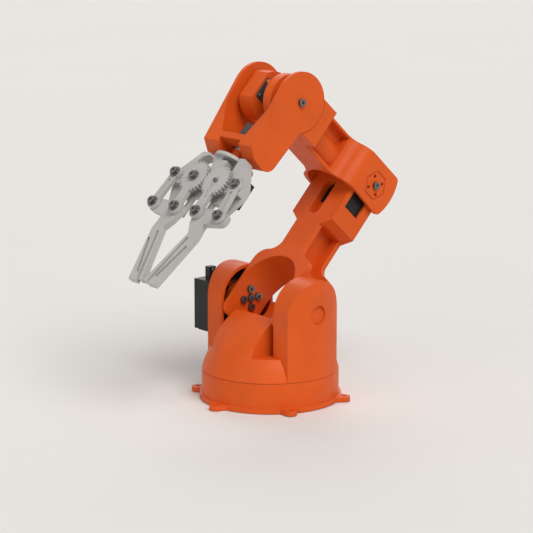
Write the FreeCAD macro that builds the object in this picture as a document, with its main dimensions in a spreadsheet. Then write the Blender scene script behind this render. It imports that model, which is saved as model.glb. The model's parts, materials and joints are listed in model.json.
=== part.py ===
import FreeCAD
import Part
import Sketcher
import math
import os
import re

# Sizes in millimetres and degrees. Each one is written here once.
SIZES = (
    # Clearances
    ("turn_gap", 0.3),
    ("fit", 0.05),
    ("slip", 0.2),
    ("far_reach", 300),
    # Base
    ("base_radius", 58.5),
    ("base_wall", 3.5),
    ("seam_height", 25),
    ("deck_thick", 3),
    ("flange_radius", 60.5),
    ("flange_thick", 4),
    ("ear_circle", 64.5),
    ("ear_round", 5.5),
    ("ear_root_half", 9.5),
    ("ear_hole", 2.1),
    ("ear_phase", -55.5),
    ("ear_count", 6),
    ("post_long", 6.4),
    # Servos: the full-size case, its shallow version, the heavy shoulder case and the small case
    ("case_long", 40.5),
    ("case_wide", 20),
    ("case_deep", 38),
    ("case_shift", 10.2),
    ("tab_span", 54.5),
    ("tab_thick", 2.6),
    ("tab_drop", 7.9),
    ("tab_hole", 2.2),
    ("tab_pitch_long", 49.5),
    ("tab_pitch_wide", 10),
    ("boss_radius", 6.5),
    ("boss_rise", 1.5),
    ("spline_radius", 2.95),
    ("spline_rise", 2.6),
    ("slim_deep", 14),
    ("slim_tab_span", 50),
    ("slim_pitch_long", 45.5),
    ("heavy_long", 45.2),
    ("heavy_shift", 14.4),
    ("heavy_deep", 43),
    ("heavy_tab_span", 58.5),
    ("heavy_pitch_long", 53.5),
    ("boot_half", 3.6),
    ("boot_deep", 6),
    ("boot_past", 2),
    ("boot_rise", 11),
    ("micro_long", 24),
    ("micro_wide", 12.5),
    ("micro_deep", 23),
    ("micro_shift", 6),
    ("micro_tab_span", 32.5),
    ("micro_tab_thick", 2),
    ("micro_drop", 4),
    ("micro_hole", 1.1),
    ("micro_pitch_long", 28.3),
    ("micro_boss_radius", 4.5),
    ("micro_boss_rise", 1),
    ("micro_spline_radius", 1.9),
    ("cover_inset", 0.35),
    ("cover_deep", 6),
    ("horn_radius", 10.5),
    ("horn_thick", 2.8),
    ("horn_gap", 0.3),
    ("horn_hole_circle", 8),
    # Turntable
    ("turn_top", 39),
    ("shelf_height", 44),
    ("shelf_radius", 50.5),
    ("dome_round", 60),
    ("hood_half", 26),
    ("hood_mid_height", 60),
    ("hood_mid_reach", 34.5),
    ("hood_mid_round", 114),
    ("hood_top_height", 75),
    ("hood_front_top", 13.5),
    ("hood_back_top", 22),
    ("hood_top_round", 560),
    ("saddle_radius", 20),
    ("cavity_low_radius", 43),
    ("cavity_low_top", 35),
    ("cavity_mid_radius", 34),
    ("cavity_mid_top", 40),
    ("roof_gap", 2),
    # Towers
    ("shoulder_x", -3),
    ("shoulder_height", 80),
    ("tower_round", 29),
    ("tower_in", 34.2),
    ("tower_rim", 3),
    ("tower_floor", 50.8),
    ("pad_face", 60),
    ("pad_half", 12),
    ("pad_root", 54),
    ("pad_lap", 1.2),
    ("pin_radius", 5),
    ("pin_reach", 8.5),
    ("pin_head", 6.5),
    ("pin_head_thick", 2.5),
    ("pin_bite", 5),
    ("cap_radius", 8),
    ("cap_seat", 5.5),
    ("cap_thick", 3),
    # Upper arm
    ("upper_length", 131),
    ("upper_lean", -43),
    ("leg_in", 30),
    ("leg_out", 33.4),
    ("leg_half", 19),
    ("leg_end", 25),
    ("leg_corner", 8),
    ("leg_straight", 22),
    ("throat_rise", 7.6),
    ("flare_low", 30),
    ("flare_round", 11.5),
    ("waist_half", 14.5),
    ("box_drop", 55.5),
    ("box_slope", 7),
    ("box_half", 25.5),
    ("box_end", 20.2),
    ("arm_half", 16.5),
    ("neck_rise", 50),
    ("web_half", 5),
    ("rim_thick", 4.5),
    ("recess_bite", 1.5),
    ("hub_radius", 12),
    ("elbow_top", 22.6),
    ("slot_shift", -2),
    ("slot_half", 6),
    ("slot_drop", 47),
    ("slot_long", 36),
    ("slot_floor", 9),
    ("window_drop", 32),
    ("window_long", 18),
    ("window_back", -7),
    ("window_front", 12),
    # Forearm
    ("fore_length", 116),
    ("fore_lean", 47),
    ("plate_out", 30.5),
    ("plate_end", 23.4),
    ("plate_round", 42),
    ("plate_half", 18),
    ("plate_corner", 4.5),
    ("yoke_rise", 11),
    ("yoke_flare_low", 18),
    ("yoke_flare_round", 14.8),
    ("column_half", 15),
    ("fore_half", 16.5),
    ("fore_back", 20.3),
    ("fore_neck", 21),
    ("rail_thick", 3.5),
    ("rail_back", 2),
    ("column_dip", 4),
    ("core_half", 6),
    ("barrel_radius", 13.5),
    ("barrel_shift", 3),
    ("block_low", 37.5),
    ("block_half", 18),
    ("block_high", 16),
    ("drum_radius", 22.5),
    ("drum_flat", 18.5),
    ("drum_near_in", 8),
    ("drum_near_out", 17),
    ("drum_far_in", 6),
    ("drum_boss", 9),
    ("disc_gap", 0.5),
    ("hex_outer", 13.2),
    ("hex_inner", 11.6),
    ("hex_deep", 0.8),
    # Wrist bracket
    ("wrist_lean", 137),
    ("wrist_top", 22.4),
    ("disc_radius", 25.6),
    ("near_in", 27),
    ("near_out", 30.5),
    ("far_out", 30.5),
    ("far_extra", 4),
    ("bracket_end", 66.6),
    ("bracket_upper", 18.6),
    ("bracket_upper_u", 59.7),
    ("bracket_nose", 8),
    ("bracket_nose_u", 65.6),
    ("bracket_heel", 4),
    ("bracket_round", 10),
    ("bracket_lower", 16.5),
    ("pocket_start", 24),
    ("pocket_near", 16.5),
    ("pocket_far", 13.4),
    ("roll_top", 54.5),
    ("roll_shift", 3),
    ("gate_low", 55.7),
    ("gate_near", 14.5),
    ("gate_far", 12),
    ("neck_hole", 7.5),
    # Gripper
    ("roll_horn_radius", 6.8),
    ("roll_horn_thick", 2.3),
    ("neck_radius", 6.5),
    ("flange_low", 1.4),
    ("flange_high", 4.4),
    ("grip_flange_radius", 18),
    ("grip_top", -17.5),
    ("arm_thick", 3.8),
    ("level_gap", 0.3),
    ("finger_thick", 5.4),
    ("frame_thick", 4),
    ("groove_deep", 2.7),
    ("pivot_rise", 29.4),
    ("finger_rise", 60.4),
    ("gear_half", 14),
    ("link_half", 39),
    ("finger_out", 42.5),
    ("tooth_count", 28),
    ("tooth_tip", 0.85),
    ("tooth_root", 1.2),
    ("tooth_sink", 0.6),
    ("tooth_tip_half", 0.36),
    ("tooth_root_half", 1.04),
    ("gear_arm_half", 4.6),
    ("eye_radius", 6.2),
    ("link_bar_half", 3.8),
    ("link_groove_half", 1.9),
    ("link_groove_deep", 1.4),
    ("link_groove_end", 9),
    ("link_eye", 5.6),
    ("loose", 0.6),
    ("grip_screw", 1.5),
    ("screw_head", 3.3),
    ("screw_head_rise", 2.5),
    ("washer_radius", 4.9),
    ("washer_thick", 0.7),
    ("key_radius", 1.45),
    ("key_deep", 1.5),
    ("grip_hub", 3.4),
    ("grip_horn_half", 3),
    ("grip_horn_tip", 1.9),
    ("grip_horn_long", 16),
    ("grip_horn_sink", 1.2),
    ("frame_root", 16),
    ("frame_root_high", 9.4),
    ("frame_root_low", 9),
    ("frame_top", 2.9),
    ("frame_top_half", 27),
    ("frame_side_half", 44.5),
    ("frame_side_low", 2),
    ("frame_side_high", 9),
    ("frame_foot_half", 33),
    ("foot_past", 2),
    ("deck_end", 7),
    ("frame_crotch_half", 12),
    ("frame_crotch", 14),
    ("frame_window_in", 15.5),
    ("frame_window_out", 28),
    ("foot_band", 7),
    ("frame_window_long", 9),
    ("neck_out", 27),
    ("neck_out_u", 8.4),
    ("knee_out", 28.6),
    ("knee_out_u", 21.5),
    ("knee_in", 16.8),
    ("knee_in_u", 19),
    ("neck_in", 11.5),
    ("neck_in_u", 10.5),
    ("tip_out", 17),
    ("tip_in", 1),
    ("tip_u", 71),
    ("tip_step", 1.6),
    ("slit_tip_out", 7.6),
    ("slit_tip_in", 5),
    ("slit_root_out", 20.6),
    ("slit_root_in", 18.2),
    ("slit_root_u", 23),
    ("groove_inset", 8),
    ("arch_mid", 17),
    ("arch_half", 10),
    ("arch_rise", 14),
    ("arch_low", 8),
    ("notch_left", 0),
    ("notch_deep", 7.4),
)

doc = FreeCAD.newDocument("robot_arm")
sheet = doc.addObject("Spreadsheet::Sheet", "sizes")
for row, (alias, amount) in enumerate(SIZES, 1):
    sheet.set(f"A{row}", alias)
    sheet.set(f"B{row}", str(amount))
    sheet.setAlias(f"B{row}", alias)
doc.recompute()
ALIASES = {alias for alias, amount in SIZES}
NODES = []


def number(text):
    """The value now of an expression in the names of the sheet."""
    found = sheet.evalExpression(str(text))
    return float(getattr(found, "Value", found))


def linked(text):
    """The same expression with each name pointing at the sheet."""

    def point(found):
        return ("sizes." if found.group() in ALIASES else "") + found.group()

    return re.sub(r"[a-z][a-z0-9_]*", point, str(text))


def bind(thing, name, text):
    thing.setExpression(name, linked(text))


def at(x="0", y="0", z="0", axis=(0, 0, 1), angle="0"):
    spin = f"rotation(vector({axis[0]}; {axis[1]}; {axis[2]}); {angle})"
    return f"placement(vector({x}; {y}; {z}); {spin})"


def mirrored(loop):
    """A loop on the other side of the upright axis of its sketch."""
    if loop[0] == "circle":
        return ("circle", f"-({loop[1]})") + loop[2:]
    swap = {"left": "right", "right": "left"}
    done = []
    for corner in loop:
        flipped = [f"-({corner[0]})", corner[1]]
        if len(corner) > 2:
            flipped.append(swap[corner[2]])
        if len(corner) == 4:
            flipped.append(corner[3])
        if len(corner) == 5:
            flipped += [f"-({corner[3]})", corner[4]]
        done.append(tuple(flipped))
    return done


def sided(loop, side):
    return loop if side > 0 else mirrored(loop)


def box(x1, y1, x2, y2):
    return [(x1, y1), (x2, y1), (x2, y2), (x1, y2)]


def slot(x, y1, y2, half):
    """An upright slot with round ends, from end centre to end centre."""
    left = f"({x}) - ({half})"
    right = f"({x}) + ({half})"
    return [(left, y2), (left, y1, "left", x, y1), (right, y1), (right, y2, "left", x, y2)]


def swung(radius, offset, angle):
    """A point at a radius and sideways offset, turned about the sketch origin."""
    x = f"({radius}) * cos({angle}) - ({offset}) * sin({angle})"
    y = f"({radius}) * sin({angle}) + ({offset}) * cos({angle})"
    return x, y


def arc_centre(start, end, corner):
    """Centre of the arc that leaves a corner, from its radius or as given."""
    if len(corner) == 5:
        return FreeCAD.Vector(number(corner[3]), number(corner[4]), 0)
    chord = end - start
    rise = math.sqrt(max(0.0, number(corner[3]) ** 2 - (chord.Length / 2) ** 2))
    lean = FreeCAD.Vector(-chord.y, chord.x, 0).normalize()
    return (start + end) / 2 + lean * (rise if corner[2] == "left" else -rise)


def place_rule(kind, axis, geo, pos, text):
    """One constraint that holds a point at a distance from the sketch axes."""
    amount = number(text)
    if abs(amount) < 1e-9:
        return Sketcher.Constraint("PointOnObject", geo, pos, axis), None
    if amount > 0:
        return Sketcher.Constraint(kind, -1, 1, geo, pos, amount), text
    return Sketcher.Constraint(kind, geo, pos, -1, 1, -amount), f"-({text})"


def draw(drawn, loop):
    up = FreeCAD.Vector(0, 0, 1)
    rules = []
    if loop[0] == "circle":
        middle = FreeCAD.Vector(number(loop[1]), number(loop[2]), 0)
        geo = drawn.addGeometry(Part.Circle(middle, up, number(loop[3])), False)
        rules.append(place_rule("DistanceX", -2, geo, 3, loop[1]))
        rules.append(place_rule("DistanceY", -1, geo, 3, loop[2]))
        rules.append((Sketcher.Constraint("Radius", geo, number(loop[3])), loop[3]))
    else:
        spots = [FreeCAD.Vector(number(c[0]), number(c[1]), 0) for c in loop]
        ends = []
        for index, corner in enumerate(loop):
            start = spots[index]
            end = spots[(index + 1) % len(loop)]
            if len(corner) == 2:
                geo = drawn.addGeometry(Part.LineSegment(start, end), False)
                ends.append((geo, 1, 2))
                continue
            middle = arc_centre(start, end, corner)
            first, last = (start, end) if corner[2] == "left" else (end, start)
            begin = math.atan2(first.y - middle.y, first.x - middle.x)
            stop = math.atan2(last.y - middle.y, last.x - middle.x)
            if stop <= begin:
                stop += 2 * math.pi
            ring = Part.Circle(middle, up, (start - middle).Length)
            geo = drawn.addGeometry(Part.ArcOfCircle(ring, begin, stop), False)
            ends.append((geo, 1, 2) if corner[2] == "left" else (geo, 2, 1))
            if len(corner) == 4:
                rules.append((Sketcher.Constraint("Radius", geo, number(corner[3])), corner[3]))
            elif abs(end.y - start.y) >= abs(end.x - start.x):
                rules.append(place_rule("DistanceX", -2, geo, 3, corner[3]))
            else:
                rules.append(place_rule("DistanceY", -1, geo, 3, corner[4]))
        for index, corner in enumerate(loop):
            before = ends[index - 1]
            geo, begin, stop = ends[index]
            rules.append((Sketcher.Constraint("Coincident", before[0], before[2], geo, begin), None))
            rules.append(place_rule("DistanceX", -2, geo, begin, corner[0]))
            rules.append(place_rule("DistanceY", -1, geo, begin, corner[1]))
    placed = drawn.addConstraint([rule for rule, text in rules])
    for index, (rule, text) in zip(placed, rules):
        if text is not None:
            bind(drawn, f"Constraints[{index}]", text)


def origin_part(body, role):
    return next(item for item in body.Origin.OriginFeatures if item.Role == role)


def sketch(body, plane, loops, lift):
    """A sketch on an origin plane, lifted along +Z, +Y or +X of the body."""
    drawn = body.newObject("Sketcher::SketchObject", body.Name + "_sketch")
    drawn.AttachmentSupport = [(origin_part(body, plane + "_Plane"), "")]
    drawn.MapMode = "FlatFace"
    bind(drawn, "AttachmentOffset.Base.z", f"-({lift})" if plane == "XZ" else lift)
    for loop in loops:
        draw(drawn, loop)
    return drawn


def grow(body, plane, loops, length, lift="0", both=False):
    """Add material along +Z, +Y or +X of the body."""
    pad = body.newObject("PartDesign::Pad", body.Name + "_pad")
    pad.Profile = sketch(body, plane, loops, lift)
    pad.Reversed = plane == "XZ"
    if both:
        pad.SideType = "Symmetric"
    bind(pad, "Length", length)
    return pad


def cut(body, plane, loops, length, lift="0", both=False):
    """Take material away along +Z, +Y or +X of the body."""
    pocket = body.newObject("PartDesign::Pocket", body.Name + "_pocket")
    pocket.Profile = sketch(body, plane, loops, lift)
    pocket.Reversed = plane != "XZ"
    if both:
        pocket.SideType = "Symmetric"
    bind(pocket, "Length", length)
    return pocket


def keep(body, plane, loop):
    """Trim a body to what lies inside one outline."""
    outside = box("-far_reach", "-far_reach", "far_reach", "far_reach")
    return cut(body, plane, [outside, loop], "far_reach * 2", both=True)


def around(body, originals, role, count):
    pattern = body.newObject("PartDesign::PolarPattern", body.Name + "_pattern")
    pattern.Originals = originals
    pattern.Axis = (origin_part(body, role), [""])
    pattern.Angle = 360
    bind(pattern, "Occurrences", count)
    body.Tip = pattern
    return pattern


def new_body(label, place):
    body = doc.addObject("PartDesign::Body", label)
    body.Label = label
    bind(body, "Placement", place)
    return body


def node(label, place):
    body = new_body(label, place)
    NODES.append(body)
    return body


def group(label, members):
    """Several loose pieces of one kind kept together as one node."""
    whole = doc.addObject("Part::Compound", label)
    whole.Label = label
    whole.Links = members
    NODES.append(whole)
    return whole


GROUND = at()
UPPER = at("shoulder_x", "0", "shoulder_height", (0, 1, 0), "upper_lean")
ELBOW_X = "(shoulder_x + upper_length * sin(upper_lean))"
ELBOW_Z = "(shoulder_height + upper_length * cos(upper_lean))"
FORE = at(ELBOW_X, "0", ELBOW_Z, (0, 1, 0), "fore_lean")
WRIST_X = f"({ELBOW_X} + fore_length * sin(fore_lean))"
WRIST_Z = f"({ELBOW_Z} + fore_length * cos(fore_lean))"
WRIST = at(WRIST_X, "0", WRIST_Z, (0, 1, 0), "wrist_lean")

HORN_LOW = "(boss_rise + horn_gap)"
HORN_HIGH = "(boss_rise + horn_gap + horn_thick)"
HUB_END = f"(pad_face - tab_drop - {HORN_HIGH})"
PLATE_IN = f"(elbow_top + {HORN_HIGH})"
FAR_IN = f"(wrist_top + {HORN_HIGH})"
SEAM = "(seam_height + turn_gap)"
LONG_END = "(case_long / 2 + case_shift)"
SHORT_END = "(case_long / 2 - case_shift)"


def case_outline(gap, sideways=False, long="case_long", shift="case_shift"):
    """The servo case seen along its output, with its short end up."""
    low = f"-({long} / 2 + {shift} + {gap})"
    high = f"{long} / 2 - {shift} + {gap}"
    half = f"(case_wide / 2 + {gap})"
    return box(low, f"-{half}", high, half) if sideways else box(f"-{half}", low, half, high)


def lifted(loop, rise):
    """The same loop moved up its sketch."""
    if loop[0] == "circle":
        return loop[:2] + (f"({loop[2]}) + ({rise})",) + loop[3:]
    done = []
    for corner in loop:
        moved = [corner[0], f"({corner[1]}) + ({rise})"] + list(corner[2:])
        if len(corner) == 5:
            moved[4] = f"({corner[4]}) + ({rise})"
        done.append(tuple(moved))
    return done


def servo(label, place, long="case_long", shift="case_shift", deep="case_deep",
          span="tab_span", pitch="tab_pitch_long"):
    """A full-size servo: output along +Z, case top at zero, long end to -X."""
    body = node(label, place)
    case = case_outline("0", True, long, shift)
    covers = case_outline("-cover_inset", True, long, shift)
    grow(body, "XY", [case], f"{deep} - 2 * cover_deep", f"cover_deep - {deep}")
    grow(body, "XY", [covers], deep, f"-{deep}")
    tabs = box(f"-({shift} + {span} / 2)", "-case_wide / 2", f"{span} / 2 - {shift}", "case_wide / 2")
    grow(body, "XY", [tabs], "tab_thick", "-(tab_drop + tab_thick)")
    grow(body, "XY", [("circle", "0", "0", "boss_radius")], "boss_rise")
    grow(body, "XY", [("circle", "0", "0", "spline_radius")], "spline_rise", "boss_rise")
    holes = []
    for end in (-1, 1):
        for side in (-1, 1):
            x = f"{end} * {pitch} / 2 - {shift}"
            holes.append(("circle", x, f"{side} * tab_pitch_wide / 2", "tab_hole"))
    cut(body, "XY", holes, "tab_thick", "-(tab_drop + tab_thick)")
    return body


def micro_servo(label, place, shift):
    """The small servo, laid out like the full-size one."""
    body = node(label, place)
    low = f"-(micro_long / 2 + {shift})"
    high = f"micro_long / 2 - {shift}"
    grow(body, "XY", [box(low, "-micro_wide / 2", high, "micro_wide / 2")], "micro_deep", "-micro_deep")
    left = f"-({shift} + micro_tab_span / 2)"
    right = f"micro_tab_span / 2 - {shift}"
    tabs = box(left, "-micro_wide / 2", right, "micro_wide / 2")
    grow(body, "XY", [tabs], "micro_tab_thick", "-(micro_drop + micro_tab_thick)")
    grow(body, "XY", [("circle", "0", "0", "micro_boss_radius")], "micro_boss_rise")
    grow(body, "XY", [("circle", "0", "0", "micro_spline_radius")], "horn_thick", "micro_boss_rise")
    holes = []
    for end in (-1, 1):
        holes.append(("circle", f"{end} * micro_pitch_long / 2 - {shift}", "0", "micro_hole"))
    cut(body, "XY", holes, "micro_tab_thick", "-(micro_drop + micro_tab_thick)")
    return body


def screw_circle():
    """The four screw holes of a horn and of the piece that it drives."""
    spots = [swung("horn_hole_circle", "0", f"{45 + 90 * quarter}") for quarter in range(4)]
    return [("circle", x, y, "grip_screw + fit") for x, y in spots]


def horn(label, place, screwed=True):
    """A round servo horn: seat on the spline, four screw holes where it is screwed on."""
    body = node(label, place)
    grow(body, "XY", [("circle", "0", "0", "horn_radius")], "horn_thick", HORN_LOW)
    bores = [("circle", "0", "0", "spline_radius + fit")]
    if screwed:
        bores += screw_circle()
    cut(body, "XY", bores, "horn_thick", HORN_LOW)
    return body


def socket_screw(body, shank, washer=False):
    """A socket-head screw: head up from zero, shank down."""
    seat = "0"
    if washer:
        grow(body, "XY", [("circle", "0", "0", "washer_radius")], "washer_thick")
        seat = "washer_thick"
    grow(body, "XY", [("circle", "0", "0", "screw_head")], "screw_head_rise", seat)
    grow(body, "XY", [("circle", "0", "0", "grip_screw")], shank, f"-({shank})")
    corners = [swung("key_radius", "0", f"{60 * k}") for k in range(6)]
    cut(body, "XY", [corners], "key_deep", f"{seat} + screw_head_rise - key_deep")
    return body


# Base ring with its bolt ears, and the servo that turns the arm
base = node("base_ring", GROUND)
grow(base, "XY", [("circle", "0", "0", "flange_radius")], "flange_thick")
ear_corners = [
    swung("base_radius - base_wall", "-ear_root_half", "ear_phase"),
    swung("ear_circle", "-ear_round", "ear_phase") + ("left",) + swung("ear_circle", "0", "ear_phase"),
    swung("ear_circle", "ear_round", "ear_phase"),
    swung("base_radius - base_wall", "ear_root_half", "ear_phase"),
]
ear = grow(base, "XY", [ear_corners], "flange_thick")
ear_eye = ("circle",) + swung("ear_circle", "0", "ear_phase") + ("ear_hole",)
ear_bore = cut(base, "XY", [ear_eye], "flange_thick")
around(base, [ear, ear_bore], "Z_Axis", "ear_count")
grow(base, "XY", [("circle", "0", "0", "base_radius")], "seam_height")
cut(base, "XY", [("circle", "0", "0", "base_radius - base_wall")], "seam_height - deck_thick")
cut(base, "XY", [case_outline("slip", True)], "deck_thick", "seam_height - deck_thick")
for end in (-1, 1):
    face = f"-({LONG_END} + slip)" if end < 0 else f"{SHORT_END} + slip"
    post = box(face, "-case_wide / 2", f"{face} + {end} * post_long", "case_wide / 2")
    grow(base, "XY", [post], "turn_top - tab_drop - tab_thick - seam_height", "seam_height")
servo("turn_servo", at("0", "0", "turn_top"))

# Turntable shell with its domed hood
horn("turn_horn", at("0", "0", "turn_top"), screwed=False)
turret = node("turret_shell", GROUND)
dome = turret.newObject("PartDesign::Revolution", "turret_dome")
dome_outline = [
    ("0", SEAM),
    ("base_radius", SEAM, "left", "dome_round"),
    ("shelf_radius", "shelf_height"),
    ("0", "shelf_height"),
]
dome.Profile = sketch(turret, "XZ", [dome_outline], "0")
dome.ReferenceAxis = (origin_part(turret, "Z_Axis"), [""])
dome.Angle = 360


def hood_level(front, back, bend):
    return [
        (front, "-hood_half", "left", bend),
        (front, "hood_half"),
        (f"-({back})", "hood_half", "left", bend),
        (f"-({back})", "-hood_half"),
    ]


HOOD_FOOT = "sqrt(pow(shelf_radius; 2) - pow(hood_half; 2))"
hood = turret.newObject("PartDesign::AdditiveLoft", "turret_hood")
foot = hood_level(HOOD_FOOT, HOOD_FOOT, "shelf_radius")
middle = hood_level("hood_mid_reach", "hood_mid_reach", "hood_mid_round")
top = hood_level("hood_front_top", "hood_back_top", "hood_top_round")
hood.Profile = sketch(turret, "XY", [foot], "shelf_height")
hood.Sections = [
    sketch(turret, "XY", [middle], "hood_mid_height"),
    sketch(turret, "XY", [top], "hood_top_height"),
]
saddle = ("circle", "shoulder_x", "shoulder_height", "saddle_radius")
cut(turret, "XZ", [saddle], "hood_half * 3", both=True)
for side in (-1, 1):
    inner = f"{side} * tower_in"
    notch = box("shoulder_x - tower_round", inner, "shoulder_x + tower_round", f"{side} * far_reach")
    cut(turret, "XY", [notch], "shelf_height", SEAM)
ROOF = f"(turn_top + {HORN_HIGH})"
cut(turret, "XY", [("circle", "0", "0", "cavity_low_radius")], f"cavity_low_top - {SEAM}", SEAM)
cut(turret, "XY", [("circle", "0", "0", "cavity_mid_radius")], f"cavity_mid_top - {SEAM}", SEAM)
cut(turret, "XY", [("circle", "0", "0", "horn_radius + roof_gap")], f"{ROOF} - {SEAM}", SEAM)

# Towers at both sides of the shoulder


def arch(radius):
    left = f"shoulder_x - ({radius})"
    right = f"shoulder_x + ({radius})"
    return [
        (left, SEAM),
        (right, SEAM),
        (right, "shoulder_height", "left", "shoulder_x", "shoulder_height"),
        (left, "shoulder_height"),
    ]


SHOULDER_EYE = ("circle", "shoulder_x", "shoulder_height")
PIN_REACH = "(base_radius - pin_reach)"
CAP_SEAT = "(base_radius - cap_seat)"
for label, side in (("tower_near", 1), ("tower_far", -1)):
    tower = node(label, GROUND)
    low = "tower_in" if side > 0 else "-pad_face"
    outer = "base_radius + pad_lap" if side > 0 else "pad_face"
    grow(tower, "XZ", [arch("tower_round")], f"{outer} - tower_in", low)
    keep(tower, "XY", ("circle", "0", "0", "base_radius"))
    if side > 0:
        cut(tower, "XZ", [SHOULDER_EYE + ("pin_radius + fit",)], f"{PIN_REACH} + turn_gap - tower_in", low)
        cut(tower, "XZ", [SHOULDER_EYE + ("cap_radius + fit",)], "far_reach", CAP_SEAT)
    else:
        pad_low = "shoulder_height - heavy_shift - heavy_tab_span / 2 - pad_lap"
        pad_high = "shoulder_height - heavy_shift + heavy_tab_span / 2 + pad_lap"
        seat = box("shoulder_x - pad_half", pad_low, "shoulder_x + pad_half", pad_high)
        grow(tower, "XZ", [seat], "pad_face - pad_root", "-pad_face")
        cut(tower, "XZ", [arch("tower_round - tower_rim")], "tower_floor - tower_in", "-tower_floor")
        case_low = "shoulder_height - heavy_shift - heavy_long / 2 - slip"
        case_high = "shoulder_height - heavy_shift + heavy_long / 2 + slip"
        opening = box("shoulder_x - case_wide / 2 - slip", case_low,
                      "shoulder_x + case_wide / 2 + slip", case_high)
        cut(tower, "XZ", [opening], "pad_face", "-pad_face - pad_lap")
    cut(tower, "XY", [("circle", "0", "0", "cavity_low_radius")], f"cavity_low_top - {SEAM}", SEAM)

TO_Y = ((1, 0, 0), "-90")
ALONG_Y = ((1, 1, 1), "240")
ALONG_BACK = ((1, -1, 1), "120")
cap = node("pivot_cap", at("shoulder_x", CAP_SEAT, "shoulder_height", *TO_Y))
grow(cap, "XY", [("circle", "0", "0", "cap_radius")], "cap_thick")
heavy = servo("shoulder_servo", at("shoulder_x", "-(pad_face - tab_drop)", "shoulder_height", *ALONG_Y),
              "heavy_long", "heavy_shift", "heavy_deep", "heavy_tab_span", "heavy_pitch_long")
HEAVY_END = "(heavy_long / 2 - heavy_shift)"
boot = box(HEAVY_END, "-boot_half", f"{HEAVY_END} + boot_rise", "boot_half")
grow(heavy, "XY", [boot], "boot_deep", "cover_deep + boot_past - heavy_deep")

# Upper arm: two half shells that clamp the elbow servo
FLARE = "(2 * flare_round * sqrt(1 - pow(1 - (leg_out - waist_half) / (2 * flare_round); 2)))"
YOKE_FLARE = (f"(2 * yoke_flare_round * sqrt(1 - pow(1 - (plate_out - column_half)"
              f" / (2 * yoke_flare_round); 2)))")


def necked(start, low, bend, narrow, rise):
    """Corners of a smooth double curve that draws a side in."""
    return [
        (start, low, "left", f"{start} - {bend}", low),
        (f"({start} + {narrow}) / 2", f"{low} + {rise} / 2",
         "right", f"{narrow} + {bend}", f"{low} + {rise}"),
        (narrow, f"{low} + {rise}"),
    ]


BOX_LOW = "(upper_length - box_drop)"
upper_front = [
    ("0", "throat_rise + leg_in", "right", "0", "throat_rise"),
    ("leg_in", "throat_rise"),
    ("leg_in", "-leg_end"),
    ("leg_out", "-leg_end"),
] + necked("leg_out", "flare_low", "flare_round", "waist_half", FLARE) + [
    ("waist_half", BOX_LOW),
    ("box_half", f"{BOX_LOW} + box_slope"),
    ("box_half", "upper_length + box_end"),
    ("0", "upper_length + box_end"),
]
END_RISE = "(upper_length + sqrt(pow(box_end; 2) - pow(arm_half; 2)))"
upper_side = [
    ("-leg_half", "leg_corner - leg_end", "left", "leg_corner - leg_half", "leg_corner - leg_end"),
    ("leg_corner - leg_half", "-leg_end"),
    ("leg_half - leg_corner", "-leg_end", "left", "leg_half - leg_corner", "leg_corner - leg_end"),
    ("leg_half", "leg_corner - leg_end"),
    ("leg_half", "leg_straight"),
    ("arm_half", "neck_rise"),
    ("arm_half", END_RISE, "left", "0", "upper_length"),
    ("-arm_half", END_RISE),
    ("-arm_half", "neck_rise"),
    ("-leg_half", "leg_straight"),
]
recess = [
    ("web_half", "throat_rise + sqrt(pow(leg_out; 2) - pow(web_half; 2))", "right", "0", "throat_rise"),
    ("sqrt(pow(leg_out; 2) - pow(flare_low - throat_rise; 2))", "flare_low"),
    ("far_reach", "flare_low"),
    ("far_reach", f"{BOX_LOW} + recess_bite"),
    ("web_half", f"{BOX_LOW} + recess_bite"),
]
elbow_case = lifted(case_outline("slip"), "upper_length")
tab_half = "(case_wide / 2 + slip)"
elbow_tabs = box(f"-{tab_half}", "upper_length - case_shift - slim_tab_span / 2 - slip",
                 tab_half, "upper_length - case_shift + slim_tab_span / 2 + slip")
for label, side in (("upper_arm_near", 1), ("upper_arm_far", -1)):
    half = node(label, UPPER)
    grow(half, "YZ", [sided(upper_front, side)], "leg_half * 2", both=True)
    keep(half, "XZ", upper_side)
    cut(half, "YZ", [sided(recess, side)], "(arm_half - rim_thick) * 2", both=True)
    if side > 0:
        cut(half, "XZ", [elbow_case], "elbow_top + slip")
        cut(half, "XZ", [elbow_tabs], "tab_thick + 2 * slip", "elbow_top - tab_drop - tab_thick - slip")
        cut(half, "XZ", [("circle", "0", "upper_length", "horn_radius + horn_gap")], "box_half", "elbow_top")
        cut(half, "XZ", [("circle", "0", "0", "pin_radius + fit")], "leg_out - leg_in", "leg_in")
        window = box("window_back", "upper_length - window_drop",
                     "window_front", "upper_length - window_drop + window_long")
        cut(half, "XZ", [window], "box_half", "elbow_top - slip")
    else:
        cut(half, "XZ", [elbow_case], "case_deep - elbow_top + slip", "elbow_top - case_deep - slip")
        cut(half, "XZ", [("circle", "0", "upper_length", "pin_radius + fit")],
            "pin_bite + slip", "-box_half")
        grow(half, "XZ", [("circle", "0", "0", "hub_radius")], f"{HUB_END} - leg_out", f"-{HUB_END}")
        bores = [("circle", "0", "0", "grip_screw + fit")] + screw_circle()
        cut(half, "XZ", bores, f"{HUB_END} - leg_in", f"-{HUB_END}")
    front_slot = slot("slot_shift", "upper_length - slot_drop + slot_half",
                      "upper_length - slot_drop + slot_long - slot_half", "slot_half")
    cut(half, "YZ", [front_slot], "arm_half", "slot_floor")

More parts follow.
